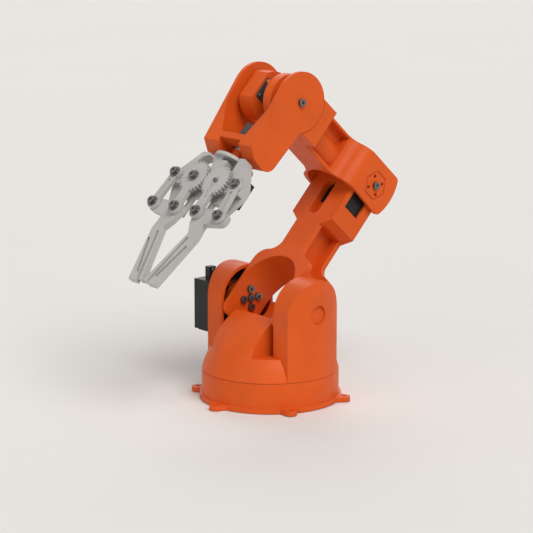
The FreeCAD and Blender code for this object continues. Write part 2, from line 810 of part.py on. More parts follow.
horn("shoulder_horn", at("shoulder_x", "-(pad_face - tab_drop)", "shoulder_height", *ALONG_Y))
heads = []
for quarter in range(5):
    x, z = ("0", "0") if quarter == 4 else swung("horn_hole_circle", "0", f"{45 + 90 * quarter}")
    spot = UPPER + " * " + at(x, "-leg_in", z, *TO_Y)
    body = new_body(f"shoulder_screw_{quarter + 1}", spot)
    heads.append(socket_screw(body, f"{HUB_END} - leg_in - turn_gap"))
group("shoulder_horn_screws", heads)
pin = node("shoulder_pin", UPPER + " * " + at("0", "leg_in", "0", *TO_Y))
grow(pin, "XY", [("circle", "0", "0", "pin_head")], "pin_head_thick", "-pin_head_thick")
grow(pin, "XY", [("circle", "0", "0", "pin_radius")], f"{PIN_REACH} - leg_in")
servo("elbow_servo", UPPER + " * " + at("0", "elbow_top", "upper_length", *ALONG_Y),
      span="slim_tab_span", pitch="slim_pitch_long")

# Forearm: two halves with the elbow yoke, column, block and wrist drums
BLOCK_LOW = "(fore_length - block_low)"
BLOCK_HIGH = "(fore_length - block_high)"
yoke = [
    ("0", f"yoke_rise + {PLATE_IN}", "right", "0", "yoke_rise"),
    (PLATE_IN, "yoke_rise"),
    (PLATE_IN, "-plate_end"),
    ("plate_out", "-plate_end"),
] + necked("plate_out", "yoke_flare_low", "yoke_flare_round", "column_half", YOKE_FLARE) + [
    ("column_half", BLOCK_LOW),
    ("plate_out", BLOCK_LOW),
    ("plate_out", BLOCK_HIGH),
]
near_end = [
    ("drum_near_out", BLOCK_HIGH),
    ("drum_near_out", "fore_length + disc_radius"),
    ("drum_near_in", "fore_length + disc_radius"),
    ("drum_near_in", BLOCK_HIGH),
    ("0", BLOCK_HIGH),
]
far_end = [
    ("wrist_top", BLOCK_HIGH),
    ("wrist_top", "fore_length + disc_radius"),
    ("drum_far_in", "fore_length + disc_radius"),
    ("drum_far_in", BLOCK_HIGH),
    ("0", BLOCK_HIGH),
]
DRUM_ROOT = "(fore_length - sqrt(pow(drum_radius; 2) - pow(block_half; 2)))"
PLATE_MID = "(plate_round - plate_end)"


def plate_corner(half):
    """Centre of the small corner round of a plate, and where it meets the end curve."""
    across = f"({half} - plate_corner)"
    drop = f"sqrt(pow(plate_round - plate_corner; 2) - pow({across}; 2))"
    share = "plate_round / (plate_round - plate_corner)"
    return across, f"{PLATE_MID} - {drop}", f"{across} * {share}", f"{PLATE_MID} - {drop} * {share}"


front_x, front_z, front_meet_x, front_meet_z = plate_corner("plate_half")
back_x, back_z, back_meet_x, back_meet_z = plate_corner("fore_back")
fore_side = [
    ("-fore_back", back_z, "left", f"-{back_x}", back_z),
    (f"-{back_meet_x}", back_meet_z, "left", "0", PLATE_MID),
    (front_meet_x, front_meet_z, "left", front_x, front_z),
    ("plate_half", front_z),
    ("fore_half", "fore_neck"),
    ("fore_half", BLOCK_LOW),
    ("block_half", BLOCK_LOW),
    ("block_half", DRUM_ROOT, "left", "0", "fore_length"),
    ("0", "fore_length + drum_radius", "left", "0", "fore_length"),
    ("-block_half", DRUM_ROOT),
    ("-block_half", BLOCK_LOW),
    ("-fore_back", BLOCK_LOW),
]
WRIST_EYE = ("circle", "0", "fore_length")
COLUMN_LOW = f"(yoke_flare_low + {YOKE_FLARE} - column_dip)"
column = box("rail_back - fore_back", COLUMN_LOW, "fore_half - rail_thick", BLOCK_LOW)
wrist_case = lifted(case_outline("slip"), "fore_length")
wrist_tabs = box(f"-{tab_half}", "fore_length - case_shift - slim_tab_span / 2 - slip",
                 tab_half, "fore_length - case_shift + slim_tab_span / 2 + slip")
for label, side in (("forearm_near", 1), ("forearm_far", -1)):
    half = node(label, FORE)
    front = yoke + (near_end if side > 0 else far_end)
    grow(half, "YZ", [sided(front, side)], "drum_radius * 2", both=True)
    keep(half, "XZ", fore_side)
    cut(half, "XZ", [column], "far_reach", "core_half" if side > 0 else "-core_half - far_reach")
    barrel = [
        ("barrel_shift - barrel_radius", "0"),
        ("barrel_shift + barrel_radius", "0", "left", "barrel_shift", "0"),
    ]
    if side < 0:
        barrel = [barrel[1][:2], barrel[0] + barrel[1][2:]]
    grow(half, "XY", [barrel], f"{BLOCK_LOW} - {COLUMN_LOW}", COLUMN_LOW)
    sweep = "disc_radius + disc_gap" if side > 0 else "disc_radius + far_extra + disc_gap"
    start = "near_in - turn_gap" if side > 0 else f"turn_gap - {FAR_IN} - far_reach"
    cut(half, "XZ", [WRIST_EYE + (sweep,)], "far_reach", start)
    if side > 0:
        grow(half, "XZ", [WRIST_EYE + ("drum_boss",)], "near_in - turn_gap - drum_near_out", "drum_near_out")
        cut(half, "XZ", [WRIST_EYE + ("grip_screw + fit",)], "near_in", "drum_near_in")
        ring = [swung("hex_outer", "0", f"{60 * k + 30}") for k in range(6)]
        island = [swung("hex_inner", "0", f"{60 * k + 30}") for k in range(6)]
        cut(half, "XZ", [ring, island], "hex_deep", "plate_out - hex_deep")
        bores = [("circle", "0", "0", "grip_screw + fit")] + screw_circle()
        cut(half, "XZ", bores, f"plate_out - {PLATE_IN}", PLATE_IN)
    else:
        cut(half, "XZ", [wrist_case], "wrist_top + slip", "-wrist_top - slip")
        cut(half, "XZ", [wrist_tabs], "tab_thick + 2 * slip", "tab_drop - wrist_top - slip")
        cut(half, "XZ", [("circle", "0", "0", "pin_radius + fit")], f"plate_out - {PLATE_IN}", "-plate_out")
        flat = box("-disc_radius", "fore_length + drum_flat", "disc_radius", "fore_length + far_reach")
        cut(half, "XZ", [flat], "far_reach", "-far_reach")
horn("elbow_horn", FORE + " * " + at("0", "elbow_top", "0", *ALONG_Y))
spot = FORE + " * " + at("0", "plate_out", "0", *TO_Y)
socket_screw(node("elbow_screw", spot), f"plate_out - {PLATE_IN}")
pin = node("elbow_pin", FORE + " * " + at("0", "-plate_out", "0", (1, 0, 0), "-90"))
grow(pin, "XY", [("circle", "0", "0", "pin_head")], "pin_head_thick", "-pin_head_thick")
grow(pin, "XY", [("circle", "0", "0", "pin_radius")], "plate_out - box_half + pin_bite")
servo("wrist_servo", FORE + " * " + at("0", "-wrist_top", "fore_length", *ALONG_BACK),
      deep="slim_deep", span="slim_tab_span", pitch="slim_pitch_long")

# Wrist bracket, its horn and pivot screw, and the servo that rolls the gripper
ROLL_SEAT = "(roll_top - micro_drop)"
bracket = node("wrist_bracket", WRIST)
yoke_outline = [
    ("near_out", "-2 * disc_radius"),
    ("near_out", "bracket_end"),
    ("-far_out", "bracket_end"),
    ("-far_out", "-2 * disc_radius"),
    (f"-{FAR_IN}", "-2 * disc_radius"),
    (f"-{FAR_IN}", "pocket_start"),
    ("-pocket_far", ROLL_SEAT),
    ("pocket_near", ROLL_SEAT),
    ("near_in", "pocket_start"),
    ("near_in", "-2 * disc_radius"),
]
grow(bracket, "YZ", [yoke_outline], "disc_radius * 2", both=True)
side_outline = [
    ("-disc_radius", "0"),
    ("-bracket_upper", "bracket_upper_u"),
    ("-bracket_nose", "bracket_nose_u"),
    ("bracket_heel", "bracket_end", "right", "bracket_heel", "bracket_end - bracket_round"),
    ("bracket_heel + bracket_round", "bracket_end - bracket_round"),
    ("bracket_lower", "sqrt(pow(disc_radius; 2) - pow(bracket_lower; 2))", "right", "0", "0"),
    ("0", "-disc_radius", "right", "0", "0"),
]
keep(bracket, "XZ", side_outline)
grow(bracket, "XZ", [("circle", "0", "-far_extra", "disc_radius")], f"far_out - {FAR_IN}", "-far_out")
MICRO_HALF = "(micro_wide / 2 + slip)"
opening = box(f"-{MICRO_HALF}", "roll_shift - micro_long / 2 - slip",
              MICRO_HALF, "roll_shift + micro_long / 2 + slip")
cut(bracket, "XY", [opening], f"gate_low - {ROLL_SEAT}", ROLL_SEAT)
slots = box(f"-{MICRO_HALF}", "roll_shift - micro_tab_span / 2 - slip",
            MICRO_HALF, "roll_shift + micro_tab_span / 2 + slip")
cut(bracket, "XY", [slots], "micro_tab_thick + slip", f"{ROLL_SEAT} - micro_tab_thick - slip")
gate = box("-disc_radius", "-gate_far", "0", "gate_near")
cut(bracket, "XY", [gate], "bracket_end - gate_low", "gate_low")
cut(bracket, "XY", [("circle", "0", "0", "neck_hole")], "bracket_end - gate_low", "gate_low")
cut(bracket, "XZ", [("circle", "0", "0", "grip_screw + fit")], "near_out - near_in", "near_in")
bores = [("circle", "0", "0", "grip_screw + fit")]
cut(bracket, "XZ", bores, f"far_out - {FAR_IN}", "-far_out")
horn("wrist_horn", WRIST + " * " + at("0", "-wrist_top", "0", *ALONG_BACK), screwed=False)
spot = WRIST + " * " + at("0", "near_out", "0", *TO_Y)
socket_screw(node("wrist_screw", spot), "near_out - drum_near_in - horn_gap")
micro_servo("roll_servo", WRIST + " * " + at("0", "0", "roll_top", (0, 0, 1), "-90"), "roll_shift")

# Gripper: neck, flange, frame and servo
NECK_LOW = "(roll_top + micro_boss_rise + horn_gap)"
roll_horn = node("roll_horn", WRIST)
grow(roll_horn, "XY", [("circle", "0", "0", "roll_horn_radius")], "roll_horn_thick", NECK_LOW)
cut(roll_horn, "XY", [("circle", "0", "0", "micro_spline_radius + fit")], "roll_horn_thick", NECK_LOW)
neck = node("gripper_neck", WRIST)
NECK_SEAT = f"({NECK_LOW} + roll_horn_thick)"
grow(neck, "XY", [("circle", "0", "0", "neck_radius")], f"bracket_end + flange_low - {NECK_SEAT}", NECK_SEAT)
cut(neck, "XY", [("circle", "0", "0", "micro_spline_radius + slip")], "micro_boss_rise", NECK_SEAT)
GRIP = WRIST + " * " + at("0", "0", "bracket_end")
flange = node("gripper_flange", GRIP)
grow(flange, "XY", [("circle", "0", "0", "grip_flange_radius")], "flange_high - flange_low", "flange_low")

ARM_LOW = "(grip_top + arm_thick)"
FINGER_TOP = f"({ARM_LOW} + level_gap)"
FRAME_TOP = f"({FINGER_TOP} + finger_thick + level_gap)"
FRAME_LOW = f"({FRAME_TOP} + frame_thick)"
FRAME_FOOT = "(finger_rise + foot_past)"
MICRO_HIGH = "(pivot_rise + micro_long / 2 - micro_shift + slip)"
shoulder_line = [
    ("grip_flange_radius", "flange_high"),
    ("grip_flange_radius", "frame_top"),
    ("frame_top_half", "frame_top"),
    ("frame_side_half", "pivot_rise - frame_side_low"),
]
lobe = [
    ("frame_side_half", "pivot_rise + frame_side_high"),
    ("frame_foot_half", FRAME_FOOT),
    ("frame_crotch_half", FRAME_FOOT),
    ("frame_crotch_half", "pivot_rise + frame_crotch"),
]
arch_left = "-arch_mid - arch_half"
arch_right = "arch_half - arch_mid"
ARCH_LOW = "(pivot_rise - arch_low)"
ARCH_RISE = "(pivot_rise - arch_rise)"
vault = [
    (arch_left, ARCH_LOW),
    (arch_left, ARCH_RISE, "left", "-arch_mid", ARCH_RISE),
    (arch_right, ARCH_RISE),
    (arch_right, ARCH_LOW),
]
notch = box("gear_half - micro_wide / 2 - slip", "0", "gear_half + micro_wide / 2 + slip", MICRO_HIGH)
step = box("notch_left", "0", "gear_half", "notch_deep")
pivot_holes = [("circle", "-gear_half", "pivot_rise", "grip_screw + fit")]
for side in (-1, 1):
    pivot_holes.append(("circle", f"{side} * link_half", "pivot_rise", "grip_screw + fit"))


def frame_plate(label, half_line, top, low):
    """One level of the gripper frame, with the servo notch, arch and pivot holes."""
    plate = node(label, GRIP)
    outline = half_line + [corner for corner in reversed(mirrored(half_line))]
    grow(plate, "YZ", [outline], f"{low} - {top}", top)
    for opening in (notch, step, vault):
        cut(plate, "YZ", [opening], f"{low} - {top}", top)
    cut(plate, "YZ", pivot_holes, f"{low} - {top}", top)
    return plate


deck_line = shoulder_line + [("frame_side_half", "pivot_rise + deck_end")]
frame_plate("gripper_deck", deck_line, FINGER_TOP, FRAME_TOP)
frame = frame_plate("gripper_frame", shoulder_line + lobe, FRAME_TOP, FRAME_LOW)
for side in (-1, 1):
    window = box("frame_window_in", f"{FRAME_FOOT} - foot_band - frame_window_long",
                 "frame_window_out", f"{FRAME_FOOT} - foot_band")
    cut(frame, "YZ", [sided(window, side)], "frame_thick", FRAME_TOP)
root = box("-frame_root", "flange_high", "notch_left", "frame_root_high")
grow(frame, "YZ", [root], f"frame_root_low - {FRAME_TOP}", FRAME_TOP)
GRIP_CASE_TOP = f"({FRAME_LOW} - micro_drop)"
micro_servo("gripper_servo", GRIP + " * " + at(GRIP_CASE_TOP, "gear_half", "pivot_rise", (0, 1, 0), "-90"),
            "micro_shift")

# Gripper gears with their swing arms, links, fingers and pivot screws; tooth sizes count in modules
MODULE = "(2 * gear_half / tooth_count)"
TOOTH_TIP = f"(gear_half + tooth_tip * {MODULE})"
TOOTH_ROOT = f"(gear_half - tooth_root * {MODULE})"
for label, side in (("gear_left", -1), ("gear_right", 1)):
    spot = GRIP + " * " + at(ARM_LOW + " - arm_thick", f"{side} * gear_half", "pivot_rise")
    gear = node(label, spot)
    grow(gear, "YZ", [("circle", "0", "0", TOOTH_ROOT)], "arm_thick")
    phase = "0" if side < 0 else "180 + 180 / tooth_count"
    tooth = grow(gear, "YZ", [[
        swung(f"{TOOTH_ROOT} - tooth_sink", f"-tooth_root_half * {MODULE}", phase),
        swung(TOOTH_TIP, f"-tooth_tip_half * {MODULE}", phase),
        swung(TOOTH_TIP, f"tooth_tip_half * {MODULE}", phase),
        swung(f"{TOOTH_ROOT} - tooth_sink", f"tooth_root_half * {MODULE}", phase),
    ]], "arm_thick")
    around(gear, [tooth], "X_Axis", "tooth_count")
    reach = "(finger_rise - pivot_rise)"
    arm = box("-gear_arm_half", "0", "gear_arm_half", reach)
    grow(gear, "YZ", [arm], "arm_thick")
    grow(gear, "YZ", [("circle", "0", reach, "eye_radius")], "arm_thick")
    bore = "grip_screw + fit" if side < 0 else "grip_hub + fit"
    cut(gear, "YZ", [("circle", "0", "0", bore), ("circle", "0", reach, "grip_screw + fit")], "arm_thick")
    if side > 0:
        inlay = [
            ("-grip_horn_half - fit", "0"),
            ("-grip_horn_tip - fit", "grip_horn_long", "right", "0", "grip_horn_long"),
            ("grip_horn_tip + fit", "grip_horn_long"),
            ("grip_horn_half + fit", "0"),
        ]
        cut(gear, "YZ", [inlay], "grip_horn_sink")

spot = GRIP + " * " + at("grip_top", "gear_half", "pivot_rise")
grip_horn = node("gripper_horn", spot)
HUB_LOW = f"({GRIP_CASE_TOP} - micro_boss_rise - horn_gap)"
grow(grip_horn, "YZ", [("circle", "0", "0", "grip_hub")], f"{HUB_LOW} - grip_top")
blade = [
    ("-grip_horn_half", "0"),
    ("-grip_horn_tip", "grip_horn_long", "right", "0", "grip_horn_long"),
    ("grip_horn_tip", "grip_horn_long"),
    ("grip_horn_half", "0"),
]
grow(grip_horn, "YZ", [blade], "grip_horn_sink")
spline_bore = ("circle", "0", "0", "micro_spline_radius + fit")
cut(grip_horn, "YZ", [spline_bore], "horn_thick", f"{HUB_LOW} - grip_top - horn_thick")

LINK_TILT = "atan((finger_out - link_half) / (finger_rise - pivot_rise))"
LINK_LONG = "sqrt(pow(finger_out - link_half; 2) + pow(finger_rise - pivot_rise; 2))"
for label, side in (("link_left", -1), ("link_right", 1)):
    tilt = f"-({side}) * {LINK_TILT}"
    spot = GRIP + " * " + at("grip_top", f"{side} * link_half", "pivot_rise", (1, 0, 0), tilt)
    link = node(label, spot)
    grow(link, "YZ", [box("-link_bar_half", "0", "link_bar_half", LINK_LONG)], "arm_thick")
    for far_end_rise in ("0", LINK_LONG):
        grow(link, "YZ", [("circle", "0", far_end_rise, "link_eye")], "arm_thick")
    groove = slot("0", "link_groove_end", f"{LINK_LONG} - link_groove_end", "link_groove_half")
    cut(link, "YZ", [groove], "link_groove_deep")
    cut(link, "YZ", [("circle", "0", "0", "grip_screw + fit")], "arm_thick")
    cut(link, "YZ", [("circle", "0", LINK_LONG, "grip_screw + loose")], "arm_thick")

# Finger outlines are drawn for the near side, up from the finger pivots, and mirrored for the other
TIP = "(finger_rise + tip_u)"
SLIT_ROOT = "(finger_rise + slit_root_u)"
finger_plate = [
    ("gear_half", "finger_rise - eye_radius"),
    ("finger_out", "finger_rise - eye_radius", "left", "finger_out", "finger_rise"),
    ("finger_out", "finger_rise + eye_radius"),
    ("neck_out", "finger_rise + neck_out_u"),
    ("knee_out", "finger_rise + knee_out_u"),
    ("knee_in", "finger_rise + knee_in_u"),
    ("neck_in", "finger_rise + neck_in_u"),
    ("gear_half - eye_radius", "finger_rise", "left", "gear_half", "finger_rise"),
]
prongs = [
    ("neck_in", "finger_rise + neck_in_u"),
    ("neck_out", "finger_rise + neck_in_u"),
    ("knee_out", "finger_rise + knee_out_u"),
    ("tip_out", TIP),
    ("slit_tip_out", TIP),
    ("slit_root_out", SLIT_ROOT),
    ("slit_root_in", SLIT_ROOT),
    ("slit_tip_in", f"{TIP} - tip_step"),
    ("tip_in", f"{TIP} - tip_step"),
    ("knee_in", "finger_rise + knee_in_u"),
]
groove = [
    ("(slit_root_out * 2 + knee_out) / 3", f"{SLIT_ROOT} + groove_inset"),
    ("(slit_root_out + knee_out * 2) / 3", f"{SLIT_ROOT} + groove_inset"),
    ("(slit_tip_out + tip_out * 2) / 3", f"{TIP} - groove_inset"),
    ("(slit_tip_out * 2 + tip_out) / 3", f"{TIP} - groove_inset"),
]
for label, side in (("finger_left", -1), ("finger_right", 1)):
    finger = node(label, GRIP)
    grow(finger, "YZ", [sided(finger_plate, side)], "finger_thick", FINGER_TOP)
    grow(finger, "YZ", [sided(prongs, side)], "finger_thick", FINGER_TOP)
    cut(finger, "YZ", [sided(groove, side)], "groove_deep", FINGER_TOP)
    bores = [("circle", "gear_half", "finger_rise", "grip_screw + fit"),
             ("circle", "finger_out", "finger_rise", "grip_screw + fit")]
    cut(finger, "YZ", [sided(bore, side) for bore in bores], "finger_thick", FINGER_TOP)

OUTWARD = ((0, 1, 0), "-90")
HEAD_LOW = "grip_top - level_gap"
FINGER_LOW = f"({FINGER_TOP} + finger_thick)"
for name, side in (("left", -1), ("right", 1)):
    screws = []
    for place, y in (("inner", "gear_half"), ("outer", "finger_out")):
        spot = GRIP + " * " + at(HEAD_LOW, f"{side} * {y}", "finger_rise", *OUTWARD)
        body = new_body(f"finger_screw_{name}_{place}", spot)
        screws.append(socket_screw(body, f"{FINGER_LOW} - ({HEAD_LOW})", True))
    group(f"finger_screws_{name}", screws)
screws = []
for y in ("-gear_half", "-link_half", "link_half"):
    spot = GRIP + " * " + at(HEAD_LOW, y, "pivot_rise", *OUTWARD)
    screws.append(socket_screw(new_body("frame_screw", spot), f"{FRAME_LOW} - ({HEAD_LOW})", True))
group("frame_pivot_screws", screws)

doc.recompute()
for item in doc.Objects:
    if "Invalid" in item.State or "Error" in item.State:
        raise RuntimeError(f"{item.Label} did not build: {item.State}")
    if item.TypeId == "PartDesign::Pocket":
        if item.BaseFeature.Shape.Volume - item.Shape.Volume < 0.01:
            raise RuntimeError(f"{item.Label} cuts nothing")
os.makedirs("parts", exist_ok=True)
for item in NODES:
    if item.Shape.isNull() or not item.Shape.isValid():
        raise RuntimeError(f"{item.Label} is not a valid solid")
    item.Shape.exportStep(f"parts/{item.Label}.step")
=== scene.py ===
import json
import math

import bpy
from bpy.props import FloatProperty, FloatVectorProperty, IntProperty, PointerProperty
from mathutils import Matrix, Vector


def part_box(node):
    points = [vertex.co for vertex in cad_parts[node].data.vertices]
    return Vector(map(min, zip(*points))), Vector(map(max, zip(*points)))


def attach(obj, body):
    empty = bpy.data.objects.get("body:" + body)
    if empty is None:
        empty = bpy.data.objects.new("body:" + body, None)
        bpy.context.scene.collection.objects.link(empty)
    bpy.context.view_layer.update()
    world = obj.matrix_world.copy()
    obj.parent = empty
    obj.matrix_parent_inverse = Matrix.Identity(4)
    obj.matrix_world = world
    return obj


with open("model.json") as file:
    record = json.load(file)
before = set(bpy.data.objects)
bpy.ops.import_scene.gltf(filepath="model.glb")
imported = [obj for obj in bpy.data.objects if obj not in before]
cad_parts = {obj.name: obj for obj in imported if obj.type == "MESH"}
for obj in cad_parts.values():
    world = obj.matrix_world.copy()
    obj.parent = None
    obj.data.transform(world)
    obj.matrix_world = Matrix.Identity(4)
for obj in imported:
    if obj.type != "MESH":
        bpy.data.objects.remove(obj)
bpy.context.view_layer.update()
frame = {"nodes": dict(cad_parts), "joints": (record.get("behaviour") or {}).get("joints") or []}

bl_info = {
    "name": "Robot Arm Dressing",
    "version": (1, 0, 0),
    "blender": (4, 5, 0),
    "location": "View3D > Sidebar > Robot Arm",
    "description": "Finishes, fasteners and studio for a desktop robot arm with a geared gripper",
    "category": "Object",
}

JOINTS = {joint["name"]: joint for joint in frame["joints"]}
MM = 0.001
NEAR = Vector((0, 1, 0))
TOUCH = 0.01 * MM
ROUND_SIDES = 96
CORNER_STEPS = 6

ORANGE_NODES = (
    "base_ring", "turret_shell", "tower_near", "tower_far", "pivot_cap", "upper_arm_near",
    "upper_arm_far", "forearm_near", "forearm_far", "wrist_bracket", "gripper_neck",
)
PALE_NODES = (
    "gripper_flange", "gripper_deck", "gripper_frame", "gear_left", "gear_right", "link_left",
    "link_right", "finger_left", "finger_right",
)
CASE_NODES = ("turn_servo", "shoulder_servo", "elbow_servo", "wrist_servo", "gripper_servo")
ROLL_NODES = ("roll_servo",)
HORN_NODES = ("turn_horn", "shoulder_horn", "elbow_horn", "wrist_horn", "roll_horn", "gripper_horn")
STEEL_NODES = (
    "shoulder_horn_screws", "shoulder_pin", "elbow_screw", "elbow_pin", "wrist_screw",
    "finger_screws_left", "finger_screws_right", "frame_pivot_screws",
)

# Noise scales of the finishes, in waves per metre
DRIFT_SCALE = 26
SMEAR_SCALE = 75
# patchiness of the painted highlight along plastic edges
EDGE_HIGHLIGHT_SCALE = 120
STAIN_SCALE = 240
WEAR_SCALE = 420
TURNED_SCALE = 700
SPECK_SCALE = 900
TOOL_MARK_SCALE = 2600
FLOOR_SCALE = 3

# Tones of the plastics and metals, as factors on their own colour
DRIFT_TONES = (0.93, 1.06)
SPECK_TONE = 0.80
# painted highlight: plastic edges are painted lighter than their own colour
EDGE_HIGHLIGHT_TONE = 1.14
STAIN_TONES = (0.80, 1.22)
WEAR_TONE = 2.6
FLOOR_TONES = (0.994, 1.006)

# How strongly specks, the painted highlight on plastic edges and worn metal edges show
SPECK_SHARE = 0.35
EDGE_HIGHLIGHT_SHARE = 0.45
WEAR_SHARE = 0.7

# Relief of the grain on plastic and of the tool marks on metal
GRAIN_STRENGTH = 0.22
GRAIN_DEPTH = 0.1 * MM
TOOL_MARK_STRENGTH = 0.15
TOOL_MARK_DEPTH = 0.05 * MM

# Shape of a screw head: share of straight wall, width of the crown, sides of the socket
HEAD_WALL = 0.7
HEAD_CROWN = 0.84
KEY_SIDES = 6

# Sizes of the smaller screws against a servo screw
BOOT_SCREW_SHARE = 0.9
COVER_SCREW_SHARE = 0.8

# Studio lamps: name, where the light comes from, the setting that holds its level, width in degrees
LAMPS = (
    ("key_lamp", (0.35, 1.75, 2.15), "key_level", 38),
    ("fill_lamp", (2.0, 0.35, 0.9), "fill_level", 50),
    ("rim_lamp", (-1.3, -1.5, 1.7), "rim_level", 38),
)
LAMP_TINT = (1.0, 0.98, 0.96)
SKY_TINT = (1.0, 0.99, 0.975, 1.0)
FLOOR_DROP = 0.5 * MM
FLOOR_ROUGHNESS = 0.85
FLOOR_SHEEN = 0.2

# Camera: width of the sensor in millimetres, and the nearest and farthest depth that it sees
SENSOR_WIDTH = 36.0
NEAREST = 0.05
FARTHEST = 60.0


class FinishSettings(bpy.types.PropertyGroup):
    """Colours and surface of the arm's plastics and metals."""

    orange: FloatVectorProperty(
        name="Orange plastic", description="Colour of the moulded shells",
        subtype="COLOR", size=3, min=0, max=1, default=(0.700, 0.100, 0.011))
    pale: FloatVectorProperty(
        name="Pale plastic", description="Colour of the gripper's gears, links and fingers",
        subtype="COLOR", size=3, min=0, max=1, default=(0.470, 0.464, 0.448))
    case_black: FloatVectorProperty(
        name="Servo black", description="Colour of the servo cases",
        subtype="COLOR", size=3, min=0, max=1, default=(0.010, 0.010, 0.011))
    case_dark: FloatVectorProperty(
        name="Roll servo grey", description="Colour of the servo that rolls the gripper",
        subtype="COLOR", size=3, min=0, max=1, default=(0.075, 0.075, 0.078))
    horn: FloatVectorProperty(
        name="Horn metal", description="Colour of the aluminium servo horns",
        subtype="COLOR", size=3, min=0, max=1, default=(0.420, 0.420, 0.425))
    steel: FloatVectorProperty(
        name="Screw steel", description="Colour of the dark steel screws and pins",
        subtype="COLOR", size=3, min=0, max=1, default=(0.170, 0.164, 0.158))
    edge_round: FloatProperty(
        name="Edge softness", description="Radius over which moulded edges catch the light",
        unit="LENGTH", min=0, default=0.7 * MM)
    grain: FloatProperty(
        name="Grain size", description="Size of the spark grain on moulded plastic",
        unit="LENGTH", min=0.05 * MM, default=0.5 * MM)


class FastenerSettings(bpy.types.PropertyGroup):
    """Sizes of the small screws that hold the servos, and of the servos' plates."""

    head_radius: FloatProperty(
        name="Head radius", description="Radius of a servo screw head",
        unit="LENGTH", min=0.2 * MM, default=2.0 * MM)
    head_height: FloatProperty(
        name="Head height", description="Height of a servo screw head",
        unit="LENGTH", min=0.2 * MM, default=1.5 * MM)
    key_radius: FloatProperty(
        name="Key radius", description="Corner radius of the hexagon socket",
        unit="LENGTH", min=0.1 * MM, default=1.05 * MM)
    round_sides: IntProperty(
        name="Sides", description="Number of sides of a screw head", min=8, default=28)
    tab_back: FloatProperty(
        name="Shoulder tab", description="Distance of the shoulder servo's tabs from the arm's middle",
        unit="LENGTH", min=0, default=62.6 * MM)
    tab_drop: FloatProperty(
        name="Tab drop", description="Drop of the shoulder servo's middle below the shoulder",
        unit="LENGTH", min=0, default=14.4 * MM)
    tab_pitch: FloatProperty(
        name="Tab pitch", description="Spacing of the shoulder servo's screws along its case",
        unit="LENGTH", min=0, default=53.5 * MM)
    tab_width: FloatProperty(
        name="Tab width", description="Spacing of the shoulder servo's screws across its case",
        unit="LENGTH", min=0, default=10.0 * MM)
    small_tab: FloatProperty(
        name="Small tab", description="Distance of the gripper servo's tabs from the roll axis",
        unit="LENGTH", min=0, default=3.7 * MM)
    small_drop: FloatProperty(
        name="Small drop", description="Drop of the gripper servo's middle behind its output",
        unit="LENGTH", min=0, default=6.0 * MM)
    small_pitch: FloatProperty(
        name="Small pitch", description="Spacing of the gripper servo's screws",
        unit="LENGTH", min=0, default=28.3 * MM)
    cover_seat: FloatProperty(
        name="Cover seat", description="Distance of the wrist servo's cover from the arm's middle",
        unit="LENGTH", min=0, default=6.0 * MM)
    cover_thick: FloatProperty(
        name="Cover thickness", description="Thickness of the wrist servo's cover",
        unit="LENGTH", min=0.1 * MM, default=0.9 * MM)
    cover_chamfer: FloatProperty(
        name="Cover chamfer", description="Chamfer round the outer face of the cover",
        unit="LENGTH", min=0, default=0.3 * MM)
    cover_half: FloatProperty(
        name="Cover half width", description="Half the width of the wrist servo's cover",
        unit="LENGTH", min=1 * MM, default=10.0 * MM)
    cover_top: FloatProperty(
        name="Cover top", description="Reach of the cover past the wrist axis",
        unit="LENGTH", min=1 * MM, default=16.4 * MM)
    cover_low: FloatProperty(
        name="Cover low", description="Reach of the cover towards the elbow",
        unit="LENGTH", min=1 * MM, default=15.2 * MM)
    cover_corner: FloatProperty(
        name="Cover corner", description="Corner radius of the cover",
        unit="LENGTH", min=0.1 * MM, default=2.0 * MM)
    cover_inset: FloatProperty(
        name="Cover screw inset", description="Distance of the cover's screws from its edges",
        unit="LENGTH", min=0.1 * MM, default=2.9 * MM)
    plate_seat: FloatProperty(
        name="Plate seat", description="Distance of the shoulder servo's plate from the arm's middle",
        unit="LENGTH", min=0, default=50.8 * MM)
    plate_thick: FloatProperty(
        name="Plate thickness", description="Thickness of the shoulder servo's plate",
        unit="LENGTH", min=0.1 * MM, default=0.8 * MM)
    plate_round: FloatProperty(
        name="Plate round", description="Radius of the plate's arched top",
        unit="LENGTH", min=1 * MM, default=25.6 * MM)
    plate_low: FloatProperty(
        name="Plate low", description="Reach of the plate below the shoulder",
        unit="LENGTH", min=1 * MM, default=32.0 * MM)
    plate_hole: FloatProperty(
        name="Plate hole", description="Radius of the hole that the servo's output turns in",
        unit="LENGTH", min=1 * MM, default=13.2 * MM)
    plate_screws: FloatProperty(
        name="Plate screws", description="Height of the plate's screws above the shoulder",
        unit="LENGTH", min=0, default=17.2 * MM)
    boot_screw: FloatProperty(
        name="Boot screw", description="Drop of the lead boot's clip screw below its top",
        unit="LENGTH", min=0, default=2.6 * MM)


